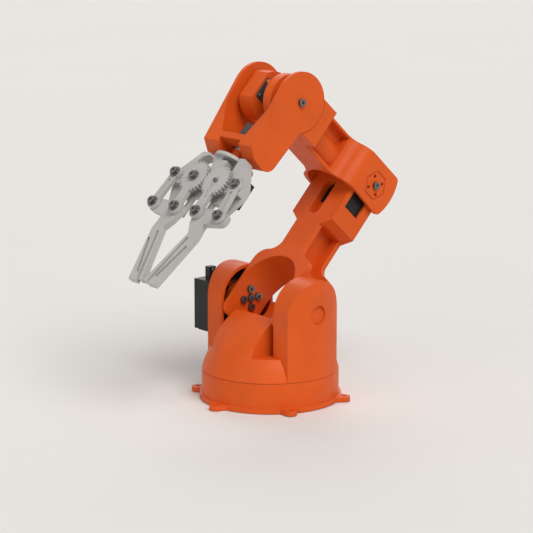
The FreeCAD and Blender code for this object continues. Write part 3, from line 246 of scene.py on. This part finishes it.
class StageSettings(bpy.types.PropertyGroup):
    """Floor, light and camera of the studio."""

    floor: FloatVectorProperty(
        name="Floor", description="Colour of the floor",
        subtype="COLOR", size=3, min=0, max=1, default=(0.80, 0.79, 0.77))
    floor_radius: FloatProperty(
        name="Floor radius", description="Radius of the floor disc",
        unit="LENGTH", min=1, default=14.0)
    sky: FloatProperty(
        name="Sky light", description="Strength of the even light from all round",
        min=0, default=0.27)
    backdrop: FloatProperty(
        name="Backdrop", description="Brightness of the sky where it is seen",
        min=0, default=0.86)
    key_level: FloatProperty(
        name="Key level", description="Strength of the large soft lamp over the arm",
        min=0, default=2.0)
    fill_level: FloatProperty(
        name="Fill level", description="Strength of the soft lamp at the gripper's side",
        min=0, default=0.50)
    rim_level: FloatProperty(
        name="Rim level", description="Strength of the soft lamp behind the arm",
        min=0, default=0.75)
    lens: FloatProperty(
        name="Lens", description="Focal length in millimetres", min=10, default=150.0)
    azimuth: FloatProperty(
        name="Azimuth", description="Bearing of the camera round the arm",
        subtype="ANGLE", default=math.radians(139.57))
    elevation: FloatProperty(
        name="Elevation", description="Height of the camera above the horizon",
        subtype="ANGLE", default=math.radians(11.99))
    distance: FloatProperty(
        name="Distance", description="Distance of the camera from its target",
        unit="LENGTH", min=0.1, default=1.8781)
    target: FloatVectorProperty(
        name="Target", description="Point that the camera looks at",
        subtype="TRANSLATION", size=3, default=(0.00426, 0.0, 0.11333))


class Wiring:
    """Adds nodes to a tree and joins them."""

    def __init__(self, tree):
        self.tree = tree

    def node(self, kind, **settings):
        made = self.tree.nodes.new(kind)
        for name, value in settings.items():
            setattr(made, name, value)
        return made

    def join(self, start, end):
        self.tree.links.new(start, end)

    def noise(self, place, scale, detail, roughness=0.55):
        made = self.node("ShaderNodeTexNoise")
        made.inputs["Scale"].default_value = scale
        made.inputs["Detail"].default_value = detail
        made.inputs["Roughness"].default_value = roughness
        self.join(place, made.inputs["Vector"])
        return made.outputs["Fac"]

    def remap(self, value, low, high, to_low=0.0, to_high=1.0):
        made = self.node("ShaderNodeMapRange")
        made.inputs["From Min"].default_value = low
        made.inputs["From Max"].default_value = high
        made.inputs["To Min"].default_value = to_low
        made.inputs["To Max"].default_value = to_high
        self.join(value, made.inputs["Value"])
        return made.outputs["Result"]

    def maths(self, operation, first, second):
        made = self.node("ShaderNodeMath", operation=operation)
        for socket, value in zip(made.inputs, (first, second)):
            if isinstance(value, (int, float)):
                socket.default_value = value
            else:
                self.join(value, socket)
        return made.outputs["Value"]

    def blend(self, factor, first, second):
        made = self.node("ShaderNodeMix", data_type="RGBA")
        self.join(factor, made.inputs["Factor"])
        colours = [socket for socket in made.inputs if socket.type == "RGBA"]
        for socket, value in zip(colours, (first, second)):
            if isinstance(value, bpy.types.NodeSocket):
                self.join(value, socket)
            else:
                socket.default_value = (*value, 1.0)
        return [socket for socket in made.outputs if socket.type == "RGBA"][0]

    def relief(self, height, normal, strength, depth):
        """The normal, roughened by a height pattern."""
        made = self.node("ShaderNodeBump")
        made.inputs["Strength"].default_value = strength
        made.inputs["Distance"].default_value = depth
        self.join(height, made.inputs["Height"])
        self.join(normal, made.inputs["Normal"])
        return made.outputs["Normal"]

    def lift(self, mesh, rise):
        """The mesh moved up its own axis."""
        offset = self.node("ShaderNodeCombineXYZ")
        self.join(rise, offset.inputs["Z"])
        made = self.node("GeometryNodeTransform")
        self.join(mesh, made.inputs["Geometry"])
        self.join(offset.outputs["Vector"], made.inputs["Translation"])
        return made.outputs["Geometry"]


def shaded(colour, amount):
    """A colour made lighter or darker by a factor."""
    return tuple(min(1.0, channel * amount) for channel in colour)


def start_material(name):
    """A new material with its shader, and the piece's own coordinates to lay patterns on."""
    made = bpy.data.materials.new(name)
    made.use_nodes = True
    made.node_tree.nodes.clear()
    wiring = Wiring(made.node_tree)
    shader = wiring.node("ShaderNodeBsdfPrincipled")
    end = wiring.node("ShaderNodeOutputMaterial")
    wiring.join(shader.outputs["BSDF"], end.inputs["Surface"])
    place = wiring.node("ShaderNodeTexCoord").outputs["Object"]
    return made, wiring, shader, place


def edge_wear_and_highlight(wiring, place, radius, scale):
    """A patchy mask of the edges, and the softened normal; on plastic it carries a painted highlight, on
    metal wear.
    """
    soft = wiring.node("ShaderNodeBevel", samples=6)
    soft.inputs["Radius"].default_value = radius
    facing = wiring.node("ShaderNodeNewGeometry")
    turn = wiring.node("ShaderNodeVectorMath", operation="DOT_PRODUCT")
    wiring.join(soft.outputs["Normal"], turn.inputs[0])
    wiring.join(facing.outputs["True Normal"], turn.inputs[1])
    edge = wiring.remap(turn.outputs["Value"], low=0.99, high=0.80)
    patchy = wiring.remap(wiring.noise(place, scale, detail=4), low=0.42, high=0.66, to_low=0.15)
    return wiring.maths("MULTIPLY", edge, patchy), soft.outputs["Normal"]


def moulded_plastic(name, colour, finish, roughness, sheen, edge_highlight):
    """Satin moulded plastic: slow drift of tone, fine specks and grain, a painted highlight along the
    edges.
    """
    made, wiring, shader, place = start_material(name)
    drift = wiring.remap(wiring.noise(place, DRIFT_SCALE, detail=3), low=0.32, high=0.68)
    tone = wiring.blend(drift, *(shaded(colour, amount) for amount in DRIFT_TONES))
    speckle = wiring.noise(place, SPECK_SCALE, detail=2)
    speck = wiring.remap(speckle, low=0.60, high=0.78, to_high=SPECK_SHARE)
    tone = wiring.blend(speck, tone, shaded(colour, SPECK_TONE))
    edge, soft = edge_wear_and_highlight(wiring, place, finish.edge_round, EDGE_HIGHLIGHT_SCALE)
    # painted highlight: the edges are painted lighter than the plastic, patchy along the bevel
    highlight_tone = tuple(min(1.0, EDGE_HIGHLIGHT_TONE * channel + edge_highlight) for channel in colour)
    tone = wiring.blend(wiring.maths("MULTIPLY", edge, EDGE_HIGHLIGHT_SHARE), tone, highlight_tone)
    wiring.join(tone, shader.inputs["Base Color"])
    smear = wiring.noise(place, SMEAR_SCALE, detail=4, roughness=0.65)
    gloss = wiring.remap(
        smear, low=0.30, high=0.70, to_low=roughness - 0.05, to_high=roughness + 0.07)
    wiring.join(gloss, shader.inputs["Roughness"])
    shader.inputs["Specular IOR Level"].default_value = sheen
    grain = wiring.noise(place, 1.0 / finish.grain, detail=2, roughness=0.5)
    normal = wiring.relief(grain, soft, GRAIN_STRENGTH, GRAIN_DEPTH)
    wiring.join(normal, shader.inputs["Normal"])
    return made


def machined_metal(name, colour, finish, roughness, metallic):
    """Turned metal with stains, tool marks and brighter worn edges."""
    made, wiring, shader, place = start_material(name)
    stain = wiring.remap(wiring.noise(place, STAIN_SCALE, detail=4), low=0.30, high=0.70)
    tone = wiring.blend(stain, *(shaded(colour, amount) for amount in STAIN_TONES))
    edge, soft = edge_wear_and_highlight(wiring, place, finish.edge_round / 2, WEAR_SCALE)
    worn = wiring.maths("MULTIPLY", edge, WEAR_SHARE)
    wiring.join(wiring.blend(worn, tone, shaded(colour, WEAR_TONE)), shader.inputs["Base Color"])
    shader.inputs["Metallic"].default_value = metallic
    turned = wiring.noise(place, TURNED_SCALE, detail=3)
    gloss = wiring.remap(
        turned, low=0.30, high=0.70, to_low=roughness - 0.07, to_high=roughness + 0.09)
    wiring.join(gloss, shader.inputs["Roughness"])
    marks = wiring.noise(place, TOOL_MARK_SCALE, detail=2)
    normal = wiring.relief(marks, soft, TOOL_MARK_STRENGTH, TOOL_MARK_DEPTH)
    wiring.join(normal, shader.inputs["Normal"])
    return made


def dress(names, material):
    """Give CAD nodes one material."""
    for name in names:
        slots = frame["nodes"][name].data.materials
        slots.clear()
        slots.append(material)


def frame_at(joint, lean):
    """Matrix of a link's own frame: along the link is Z, across the arm is Y."""
    return Matrix.Translation(JOINTS[joint]["pos_m"]) @ Matrix.Rotation(lean, 4, "Y")


def lean_between(start, end):
    """Lean of the line between two joints, seen from the near side."""
    rise = Vector(JOINTS[end]["pos_m"]) - Vector(JOINTS[start]["pos_m"])
    return math.atan2(rise.x, rise.z)


def top_face(node, place):
    """Depth of a CAD node's upper face in a link's own frame, where X points down through the gripper."""
    back = place.inverted()
    return min((back @ vertex.co).x for vertex in frame["nodes"][node].data.vertices)


def round_turns(offset=0.0):
    """Angles of the corners of a round outline."""
    return [2 * math.pi * (step + offset) / ROUND_SIDES for step in range(ROUND_SIDES)]


def rounded(left, low, right, high, radius):
    """Corners of a rectangle with round corners, anticlockwise."""
    spots = []
    for x, z, start in (
        (right - radius, high - radius, 0), (left + radius, high - radius, 90),
        (left + radius, low + radius, 180), (right - radius, low + radius, 270),
    ):
        for step in range(CORNER_STEPS + 1):
            turn = math.radians(start + 90 * step / CORNER_STEPS)
            spots.append((x + radius * math.cos(turn), z + radius * math.sin(turn)))
    return spots


def slab(name, outline, low, high, chamfer, place):
    """A plate across the arm between two depths, with a chamfer round its outer face."""
    middle = Vector((sum(x for x, z in outline), sum(z for x, z in outline))) / len(outline)
    rings = []
    for depth, inset in ((low, 0), (high - chamfer, 0), (high, chamfer)):
        ring = []
        for x, z in outline:
            out = Vector((x, z)) - middle
            x, z = middle + out * (1 - inset / out.length)
            ring.append(place @ Vector((x, depth, z)))
        rings.append(ring)
    count = len(outline)
    faces = [tuple(range(count)), tuple(reversed(range(2 * count, 3 * count)))]
    for level in range(2):
        for step in range(count):
            after = (step + 1) % count
            faces.append((
                level * count + after, level * count + step,
                (level + 1) * count + step, (level + 1) * count + after))
    mesh = bpy.data.meshes.new(name)
    mesh.from_pydata([spot for ring in rings for spot in ring], [], faces)
    mesh.validate()
    return mesh


def pierced(name, outline, hole, low, high, place):
    """A plate across the arm between two depths, with a round hole on the axis of its outline."""
    count = len(outline)
    rim = [Vector((x, z)).normalized() * hole for x, z in outline]
    spots = []
    for depth in (low, high):
        for ring in (outline, rim):
            spots += [place @ Vector((x, depth, z)) for x, z in ring]
    low_edge, low_hole, high_edge, high_hole = range(0, 4 * count, count)
    faces = []
    for step in range(count):
        after = (step + 1) % count
        for start, end in (
            (low_edge, low_hole), (low_hole, high_hole), (high_hole, high_edge), (high_edge, low_edge),
        ):
            faces.append((start + after, end + after, end + step, start + step))
    mesh = bpy.data.meshes.new(name)
    mesh.from_pydata(spots, [], faces)
    mesh.validate()
    return mesh


def screw_tree():
    """Socket screws on points, each along the point's own axis."""
    tree = bpy.data.node_groups.new("Servo screws", "GeometryNodeTree")
    face = tree.interface
    face.new_socket("Geometry", in_out="INPUT", socket_type="NodeSocketGeometry")
    for name, kind in (
        ("Head Radius", "NodeSocketFloat"), ("Head Height", "NodeSocketFloat"),
        ("Key Radius", "NodeSocketFloat"), ("Sides", "NodeSocketInt"), ("Material", "NodeSocketMaterial"),
    ):
        face.new_socket(name, in_out="INPUT", socket_type=kind)
    face.new_socket("Geometry", in_out="OUTPUT", socket_type="NodeSocketGeometry")
    wiring = Wiring(tree)
    given = wiring.node("NodeGroupInput")
    end = wiring.node("NodeGroupOutput")

    height = given.outputs["Head Height"]
    wall = wiring.maths("MULTIPLY", height, HEAD_WALL)
    head = wiring.node("GeometryNodeMeshCylinder", fill_type="NGON")
    wiring.join(given.outputs["Sides"], head.inputs["Vertices"])
    wiring.join(given.outputs["Head Radius"], head.inputs["Radius"])
    wiring.join(wall, head.inputs["Depth"])
    bevel = wiring.node("GeometryNodeExtrudeMesh", mode="FACES")
    wiring.join(head.outputs["Mesh"], bevel.inputs["Mesh"])
    wiring.join(head.outputs["Top"], bevel.inputs["Selection"])
    bevel.inputs["Individual"].default_value = False
    wiring.join(wiring.maths("SUBTRACT", height, wall), bevel.inputs["Offset Scale"])
    crown = wiring.node("GeometryNodeScaleElements", domain="FACE")
    wiring.join(bevel.outputs["Mesh"], crown.inputs["Geometry"])
    wiring.join(bevel.outputs["Top"], crown.inputs["Selection"])
    crown.inputs["Scale"].default_value = HEAD_CROWN
    seated = wiring.lift(crown.outputs["Geometry"], wiring.maths("MULTIPLY", wall, 0.5))

    key = wiring.node("GeometryNodeMeshCylinder", fill_type="NGON")
    key.inputs["Vertices"].default_value = KEY_SIDES
    wiring.join(given.outputs["Key Radius"], key.inputs["Radius"])
    wiring.join(height, key.inputs["Depth"])
    bored = wiring.node("GeometryNodeMeshBoolean", operation="DIFFERENCE", solver="EXACT")
    wiring.join(seated, bored.inputs["Mesh 1"])
    wiring.join(wiring.lift(key.outputs["Mesh"], height), bored.inputs["Mesh 2"])

    axis = wiring.node("GeometryNodeInputNamedAttribute", data_type="FLOAT_VECTOR")
    axis.inputs["Name"].default_value = "axis"
    turn = wiring.node("FunctionNodeAlignRotationToVector", axis="Z")
    wiring.join(axis.outputs["Attribute"], turn.inputs["Vector"])
    spread = wiring.node("GeometryNodeInstanceOnPoints")
    wiring.join(given.outputs["Geometry"], spread.inputs["Points"])
    wiring.join(bored.outputs["Mesh"], spread.inputs["Instance"])
    wiring.join(turn.outputs["Rotation"], spread.inputs["Rotation"])
    real = wiring.node("GeometryNodeRealizeInstances")
    wiring.join(spread.outputs["Instances"], real.inputs["Geometry"])
    painted = wiring.node("GeometryNodeSetMaterial")
    wiring.join(real.outputs["Geometry"], painted.inputs["Geometry"])
    wiring.join(given.outputs["Material"], painted.inputs["Material"])
    wiring.join(painted.outputs["Geometry"], end.inputs["Geometry"])
    return tree


def socket_key(tree, name):
    """Identifier of a tree's named input."""
    for item in tree.interface.items_tree:
        if item.item_type == "SOCKET" and item.in_out == "INPUT" and item.name == name:
            return item.identifier
    raise KeyError(name)


def screw_sizes(fasteners, share=1.0):
    """Inputs of the screw tree for a screw of a share of the servo screw's size."""
    return {
        "Head Radius": fasteners.head_radius * share,
        "Head Height": fasteners.head_height * share,
        "Key Radius": fasteners.key_radius * share,
        "Sides": fasteners.round_sides,
    }


def seat(piece, body):
    """Let a finished piece ride on its body."""
    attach(piece, body)


def make_plate(mesh, body, slot):
    """One plain plate for a body, from its mesh."""
    mesh.materials.append(bpy.data.materials[slot])
    piece = bpy.data.objects.new(mesh.name, mesh)
    bpy.context.scene.collection.objects.link(piece)
    seat(piece, body)


def make_screws(name, body, spots, sizes, slot="dark_steel"):
    """One plain mesh of screws for a body, from points and outward directions."""
    mesh = bpy.data.meshes.new(name)
    mesh.from_pydata([tuple(point) for point, outward in spots], [], [])
    attribute = mesh.attributes.new("axis", "FLOAT_VECTOR", "POINT")
    for row, (point, outward) in zip(attribute.data, spots):
        row.vector = outward
    piece = bpy.data.objects.new(name, mesh)
    bpy.context.scene.collection.objects.link(piece)
    tree = bpy.data.node_groups.get("Servo screws") or screw_tree()
    modifier = piece.modifiers.new("Screws", "NODES")
    modifier.node_group = tree
    for label, value in sizes.items():
        modifier[socket_key(tree, label)] = value
    modifier[socket_key(tree, "Material")] = bpy.data.materials[slot]
    depsgraph = bpy.context.evaluated_depsgraph_get()
    plain = bpy.data.meshes.new_from_object(piece.evaluated_get(depsgraph))
    if not plain.polygons:
        raise RuntimeError(f"{name} has no faces")
    piece.modifiers.clear()
    piece.data = plain
    plain.name = name
    seat(piece, body)


class ROBOTARM_OT_orange_shells(bpy.types.Operator):
    """Give the base, turret, arm shells and wrist bracket their orange plastic"""

    bl_idname = "robotarm.orange_shells"
    bl_label = "Orange shells"

    def execute(self, context):
        finish = context.scene.robotarm_finish
        # the last amount is how much lighter the painted edge highlight makes the orange edges
        orange = moulded_plastic(
            "orange_plastic", finish.orange, finish, roughness=0.43, sheen=0.20, edge_highlight=0.035)
        dress(ORANGE_NODES, orange)
        return {"FINISHED"}


class ROBOTARM_OT_gripper_parts(bpy.types.Operator):
    """Give the gripper's frame, gears, links and fingers their pale plastic"""

    bl_idname = "robotarm.gripper_parts"
    bl_label = "Gripper parts"

    def execute(self, context):
        finish = context.scene.robotarm_finish
        # the last amount is how much lighter the painted edge highlight makes the pale edges
        pale = moulded_plastic(
            "pale_grey_plastic", finish.pale, finish, roughness=0.40, sheen=0.30, edge_highlight=0.050)
        dress(PALE_NODES, pale)
        return {"FINISHED"}


class ROBOTARM_OT_servo_cases(bpy.types.Operator):
    """Give the servo cases their black and dark grey plastic"""

    bl_idname = "robotarm.servo_cases"
    bl_label = "Servo cases"

    def execute(self, context):
        finish = context.scene.robotarm_finish
        # the last amounts are how much lighter the painted edge highlight makes the servo cases' edges
        black = moulded_plastic(
            "black_servo", finish.case_black, finish, roughness=0.40, sheen=0.28, edge_highlight=0.025)
        dress(CASE_NODES, black)
        dark = moulded_plastic(
            "dark_servo", finish.case_dark, finish, roughness=0.42, sheen=0.28, edge_highlight=0.035)
        dress(ROLL_NODES, dark)
        return {"FINISHED"}


class ROBOTARM_OT_metal_parts(bpy.types.Operator):
    """Give the servo horns, screws and pins their metal"""

    bl_idname = "robotarm.metal_parts"
    bl_label = "Horns, screws and pins"

    def execute(self, context):
        finish = context.scene.robotarm_finish
        horn = machined_metal("horn_metal", finish.horn, finish, roughness=0.40, metallic=0.9)
        dress(HORN_NODES, horn)
        steel = machined_metal("dark_steel", finish.steel, finish, roughness=0.33, metallic=1.0)
        dress(STEEL_NODES, steel)
        return {"FINISHED"}


class ROBOTARM_OT_servo_screws(bpy.types.Operator):
    """Seat the small socket screws of the shoulder servo, its lead boot and the gripper servo"""

    bl_idname = "robotarm.servo_screws"
    bl_label = "Servo screws"

    def execute(self, context):
        fasteners = context.scene.robotarm_fasteners
        self.shoulder_screws(fasteners)
        self.gripper_screws(fasteners)
        return {"FINISHED"}

    def shoulder_screws(self, fasteners):
        shoulder = Vector(JOINTS["shoulder"]["pos_m"])
        tabs = []
        for end in (-1, 1):
            for side in (-1, 1):
                rise = end * fasteners.tab_pitch / 2 - fasteners.tab_drop
                offset = Vector((side * fasteners.tab_width / 2, -fasteners.tab_back, rise))
                tabs.append((shoulder + offset, -NEAR))
        make_screws("shoulder_servo_screws", "turntable", tabs, screw_sizes(fasteners))
        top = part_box("shoulder_servo")[1].z
        clip = Vector((shoulder.x, self.boot_face(top), top - fasteners.boot_screw))
        sizes = screw_sizes(fasteners, BOOT_SCREW_SHARE)
        make_screws("lead_boot_screw", "turntable", [(clip, NEAR)], sizes)

    def boot_face(self, top):
        """Depth of the lead boot's near face, read at the very top of the shoulder servo."""
        spots = frame["nodes"]["shoulder_servo"].data.vertices
        return max(spot.co.y for spot in spots if top - spot.co.z < TOUCH)

    def gripper_screws(self, fasteners):
        wrist = frame_at("wrist_pitch", lean_between("wrist_pitch", "wrist_roll"))
        outward = wrist.to_3x3() @ Vector((-1, 0, 0))
        gear = wrist.inverted() @ Vector(JOINTS["gripper_open"]["pos_m"])
        behind = -fasteners.small_drop - fasteners.small_pitch / 2
        tab = wrist @ Vector((-fasteners.small_tab, gear.y, gear.z + behind))
        sizes = screw_sizes(fasteners)
        make_screws("gripper_servo_screw", "gripper", [(tab, outward)], sizes)
        hub = wrist @ Vector((top_face("gripper_horn", wrist), gear.y, gear.z))
        make_screws("gripper_horn_screw", "gear_right", [(hub, outward)], sizes)


class ROBOTARM_OT_shoulder_plate(bpy.types.Operator):
    """Set the dark plate that holds the shoulder servo inside the far tower"""

    bl_idname = "robotarm.shoulder_plate"
    bl_label = "Shoulder servo plate"

    def execute(self, context):
        fasteners = context.scene.robotarm_fasteners
        place = Matrix.Translation(JOINTS["shoulder"]["pos_m"])
        back = -fasteners.plate_seat
        face = back + fasteners.plate_thick
        outline = self.arched(fasteners.plate_round, fasteners.plate_low)
        mesh = pierced("shoulder_servo_plate", outline, fasteners.plate_hole, back, face, place)
        make_plate(mesh, "turntable", "black_servo")
        half = fasteners.tab_width / 2
        spots = [(place @ Vector((x, face, fasteners.plate_screws)), NEAR) for x in (-half, half)]
        make_screws("shoulder_plate_screws", "turntable", spots, screw_sizes(fasteners))
        return {"FINISHED"}

    def arched(self, radius, low):
        """Corners of a plate with a half-round top and a square foot."""
        outline = []
        for turn in round_turns(0.5):
            x, z = math.cos(turn), math.sin(turn)
            reach = radius if z > 0 else min(radius / abs(x), low / abs(z))
            outline.append((reach * x, reach * z))
        return outline


class ROBOTARM_OT_wrist_cover(bpy.types.Operator):
    """Set the screwed cover of the wrist servo between the two drums"""

    bl_idname = "robotarm.wrist_cover"
    bl_label = "Wrist servo cover"

    def execute(self, context):
        fasteners = context.scene.robotarm_fasteners
        place = frame_at("wrist_pitch", lean_between("elbow", "wrist_pitch"))
        back = -fasteners.cover_seat
        face = back + fasteners.cover_thick
        outline = rounded(
            -fasteners.cover_half, -fasteners.cover_low, fasteners.cover_half, fasteners.cover_top,
            fasteners.cover_corner)
        mesh = slab("wrist_servo_cover", outline, back, face, fasteners.cover_chamfer, place)
        make_plate(mesh, "forearm", "black_servo")
        reach = fasteners.cover_half - fasteners.cover_inset
        high = fasteners.cover_top - fasteners.cover_inset
        low = fasteners.cover_inset - fasteners.cover_low
        corners = ((reach, high), (-reach, low), (reach, low))
        spots = [(place @ Vector((x, face, z)), NEAR) for x, z in corners]
        sizes = screw_sizes(fasteners, COVER_SCREW_SHARE)
        make_screws("wrist_cover_screws", "forearm", spots, sizes)
        plug = [(place @ Vector((-reach, face, high)), NEAR)]
        make_screws("wrist_cover_plug", "forearm", plug, screw_sizes(fasteners), "orange_plastic")
        return {"FINISHED"}


class ROBOTARM_OT_stage(bpy.types.Operator):
    """Set the pale floor, the soft studio light and the camera"""

    bl_idname = "robotarm.stage"
    bl_label = "Studio"

    def execute(self, context):
        scene = context.scene
        stage = scene.robotarm_stage
        scene.view_settings.view_transform = "Standard"
        self.lay_floor(scene, stage)
        self.light(scene, stage)
        self.aim(scene, stage)
        return {"FINISHED"}

    def lay_floor(self, scene, stage):
        radius = stage.floor_radius
        rim = [(radius * math.cos(turn), radius * math.sin(turn), -FLOOR_DROP) for turn in round_turns()]
        mesh = bpy.data.meshes.new("studio_floor")
        mesh.from_pydata(rim, [], [tuple(range(ROUND_SIDES))])
        floor = bpy.data.objects.new("studio_floor", mesh)
        scene.collection.objects.link(floor)
        made, wiring, shader, place = start_material("floor_paint")
        cloud = wiring.remap(wiring.noise(place, FLOOR_SCALE, detail=3), low=0.3, high=0.7)
        tone = wiring.blend(cloud, *(shaded(stage.floor, amount) for amount in FLOOR_TONES))
        wiring.join(tone, shader.inputs["Base Color"])
        shader.inputs["Roughness"].default_value = FLOOR_ROUGHNESS
        shader.inputs["Specular IOR Level"].default_value = FLOOR_SHEEN
        mesh.materials.append(made)

    def light(self, scene, stage):
        world = bpy.data.worlds.new("studio_sky")
        scene.world = world
        world.use_nodes = True
        wiring = Wiring(world.node_tree)
        sky = world.node_tree.nodes["Background"]
        sky.inputs["Color"].default_value = SKY_TINT
        path = wiring.node("ShaderNodeLightPath").outputs
        mirrored = wiring.maths("MAXIMUM", path["Is Glossy Ray"], path["Is Transmission Ray"])
        seen = wiring.maths("MAXIMUM", path["Is Camera Ray"], mirrored)
        level = wiring.remap(seen, low=0.0, high=1.0, to_low=stage.sky, to_high=stage.backdrop)
        wiring.join(level, sky.inputs["Strength"])
        for name, toward, setting, spread in LAMPS:
            lamp = bpy.data.lights.new(name, "SUN")
            lamp.angle = math.radians(spread)
            lamp.energy = getattr(stage, setting)
            lamp.color = LAMP_TINT
            holder = bpy.data.objects.new(name, lamp)
            holder.location = toward
            holder.rotation_mode = "QUATERNION"
            holder.rotation_quaternion = (-Vector(toward)).to_track_quat("-Z", "Y")
            scene.collection.objects.link(holder)

    def aim(self, scene, stage):
        lens = bpy.data.cameras.new("photo_camera")
        lens.lens = stage.lens
        lens.sensor_width = SENSOR_WIDTH
        lens.sensor_fit = "HORIZONTAL"
        lens.clip_start = NEAREST
        lens.clip_end = FARTHEST
        camera = bpy.data.objects.new("photo_camera", lens)
        flat = math.cos(stage.elevation)
        back = Vector((
            math.sin(stage.azimuth) * flat, -math.cos(stage.azimuth) * flat, math.sin(stage.elevation)))
        camera.location = Vector(stage.target) + back * stage.distance
        camera.rotation_mode = "QUATERNION"
        camera.rotation_quaternion = (-back).to_track_quat("-Z", "Y")
        scene.collection.objects.link(camera)
        scene.camera = camera


class ROBOTARM_PT_panel(bpy.types.Panel):
    """Sidebar list of the arm's settings and steps"""

    bl_idname = "ROBOTARM_PT_panel"
    bl_label = "Robot Arm"
    bl_space_type = "VIEW_3D"
    bl_region_type = "UI"
    bl_category = "Robot Arm"

    def draw(self, context):
        scene = context.scene
        for settings in (scene.robotarm_finish, scene.robotarm_fasteners, scene.robotarm_stage):
            box = self.layout.box()
            for name in settings.__annotations__:
                box.prop(settings, name)
        for step in STEPS:
            self.layout.operator(step.bl_idname)


STEPS = (
    ROBOTARM_OT_orange_shells,
    ROBOTARM_OT_gripper_parts,
    ROBOTARM_OT_servo_cases,
    ROBOTARM_OT_metal_parts,
    ROBOTARM_OT_servo_screws,
    ROBOTARM_OT_shoulder_plate,
    ROBOTARM_OT_wrist_cover,
    ROBOTARM_OT_stage,
)
CLASSES = (FinishSettings, FastenerSettings, StageSettings) + STEPS + (ROBOTARM_PT_panel,)


def register():
    for item in CLASSES:
        bpy.utils.register_class(item)
    bpy.types.Scene.robotarm_finish = PointerProperty(type=FinishSettings)
    bpy.types.Scene.robotarm_fasteners = PointerProperty(type=FastenerSettings)
    bpy.types.Scene.robotarm_stage = PointerProperty(type=StageSettings)


def unregister():
    for name in ("robotarm_finish", "robotarm_fasteners", "robotarm_stage"):
        delattr(bpy.types.Scene, name)
    for item in reversed(CLASSES):
        bpy.utils.unregister_class(item)


def main():
    register()
    bpy.ops.robotarm.orange_shells()
    bpy.ops.robotarm.gripper_parts()
    bpy.ops.robotarm.servo_cases()
    bpy.ops.robotarm.metal_parts()
    bpy.ops.robotarm.servo_screws()
    bpy.ops.robotarm.shoulder_plate()
    bpy.ops.robotarm.wrist_cover()
    bpy.ops.robotarm.stage()


if __name__ == "__main__":
    main()
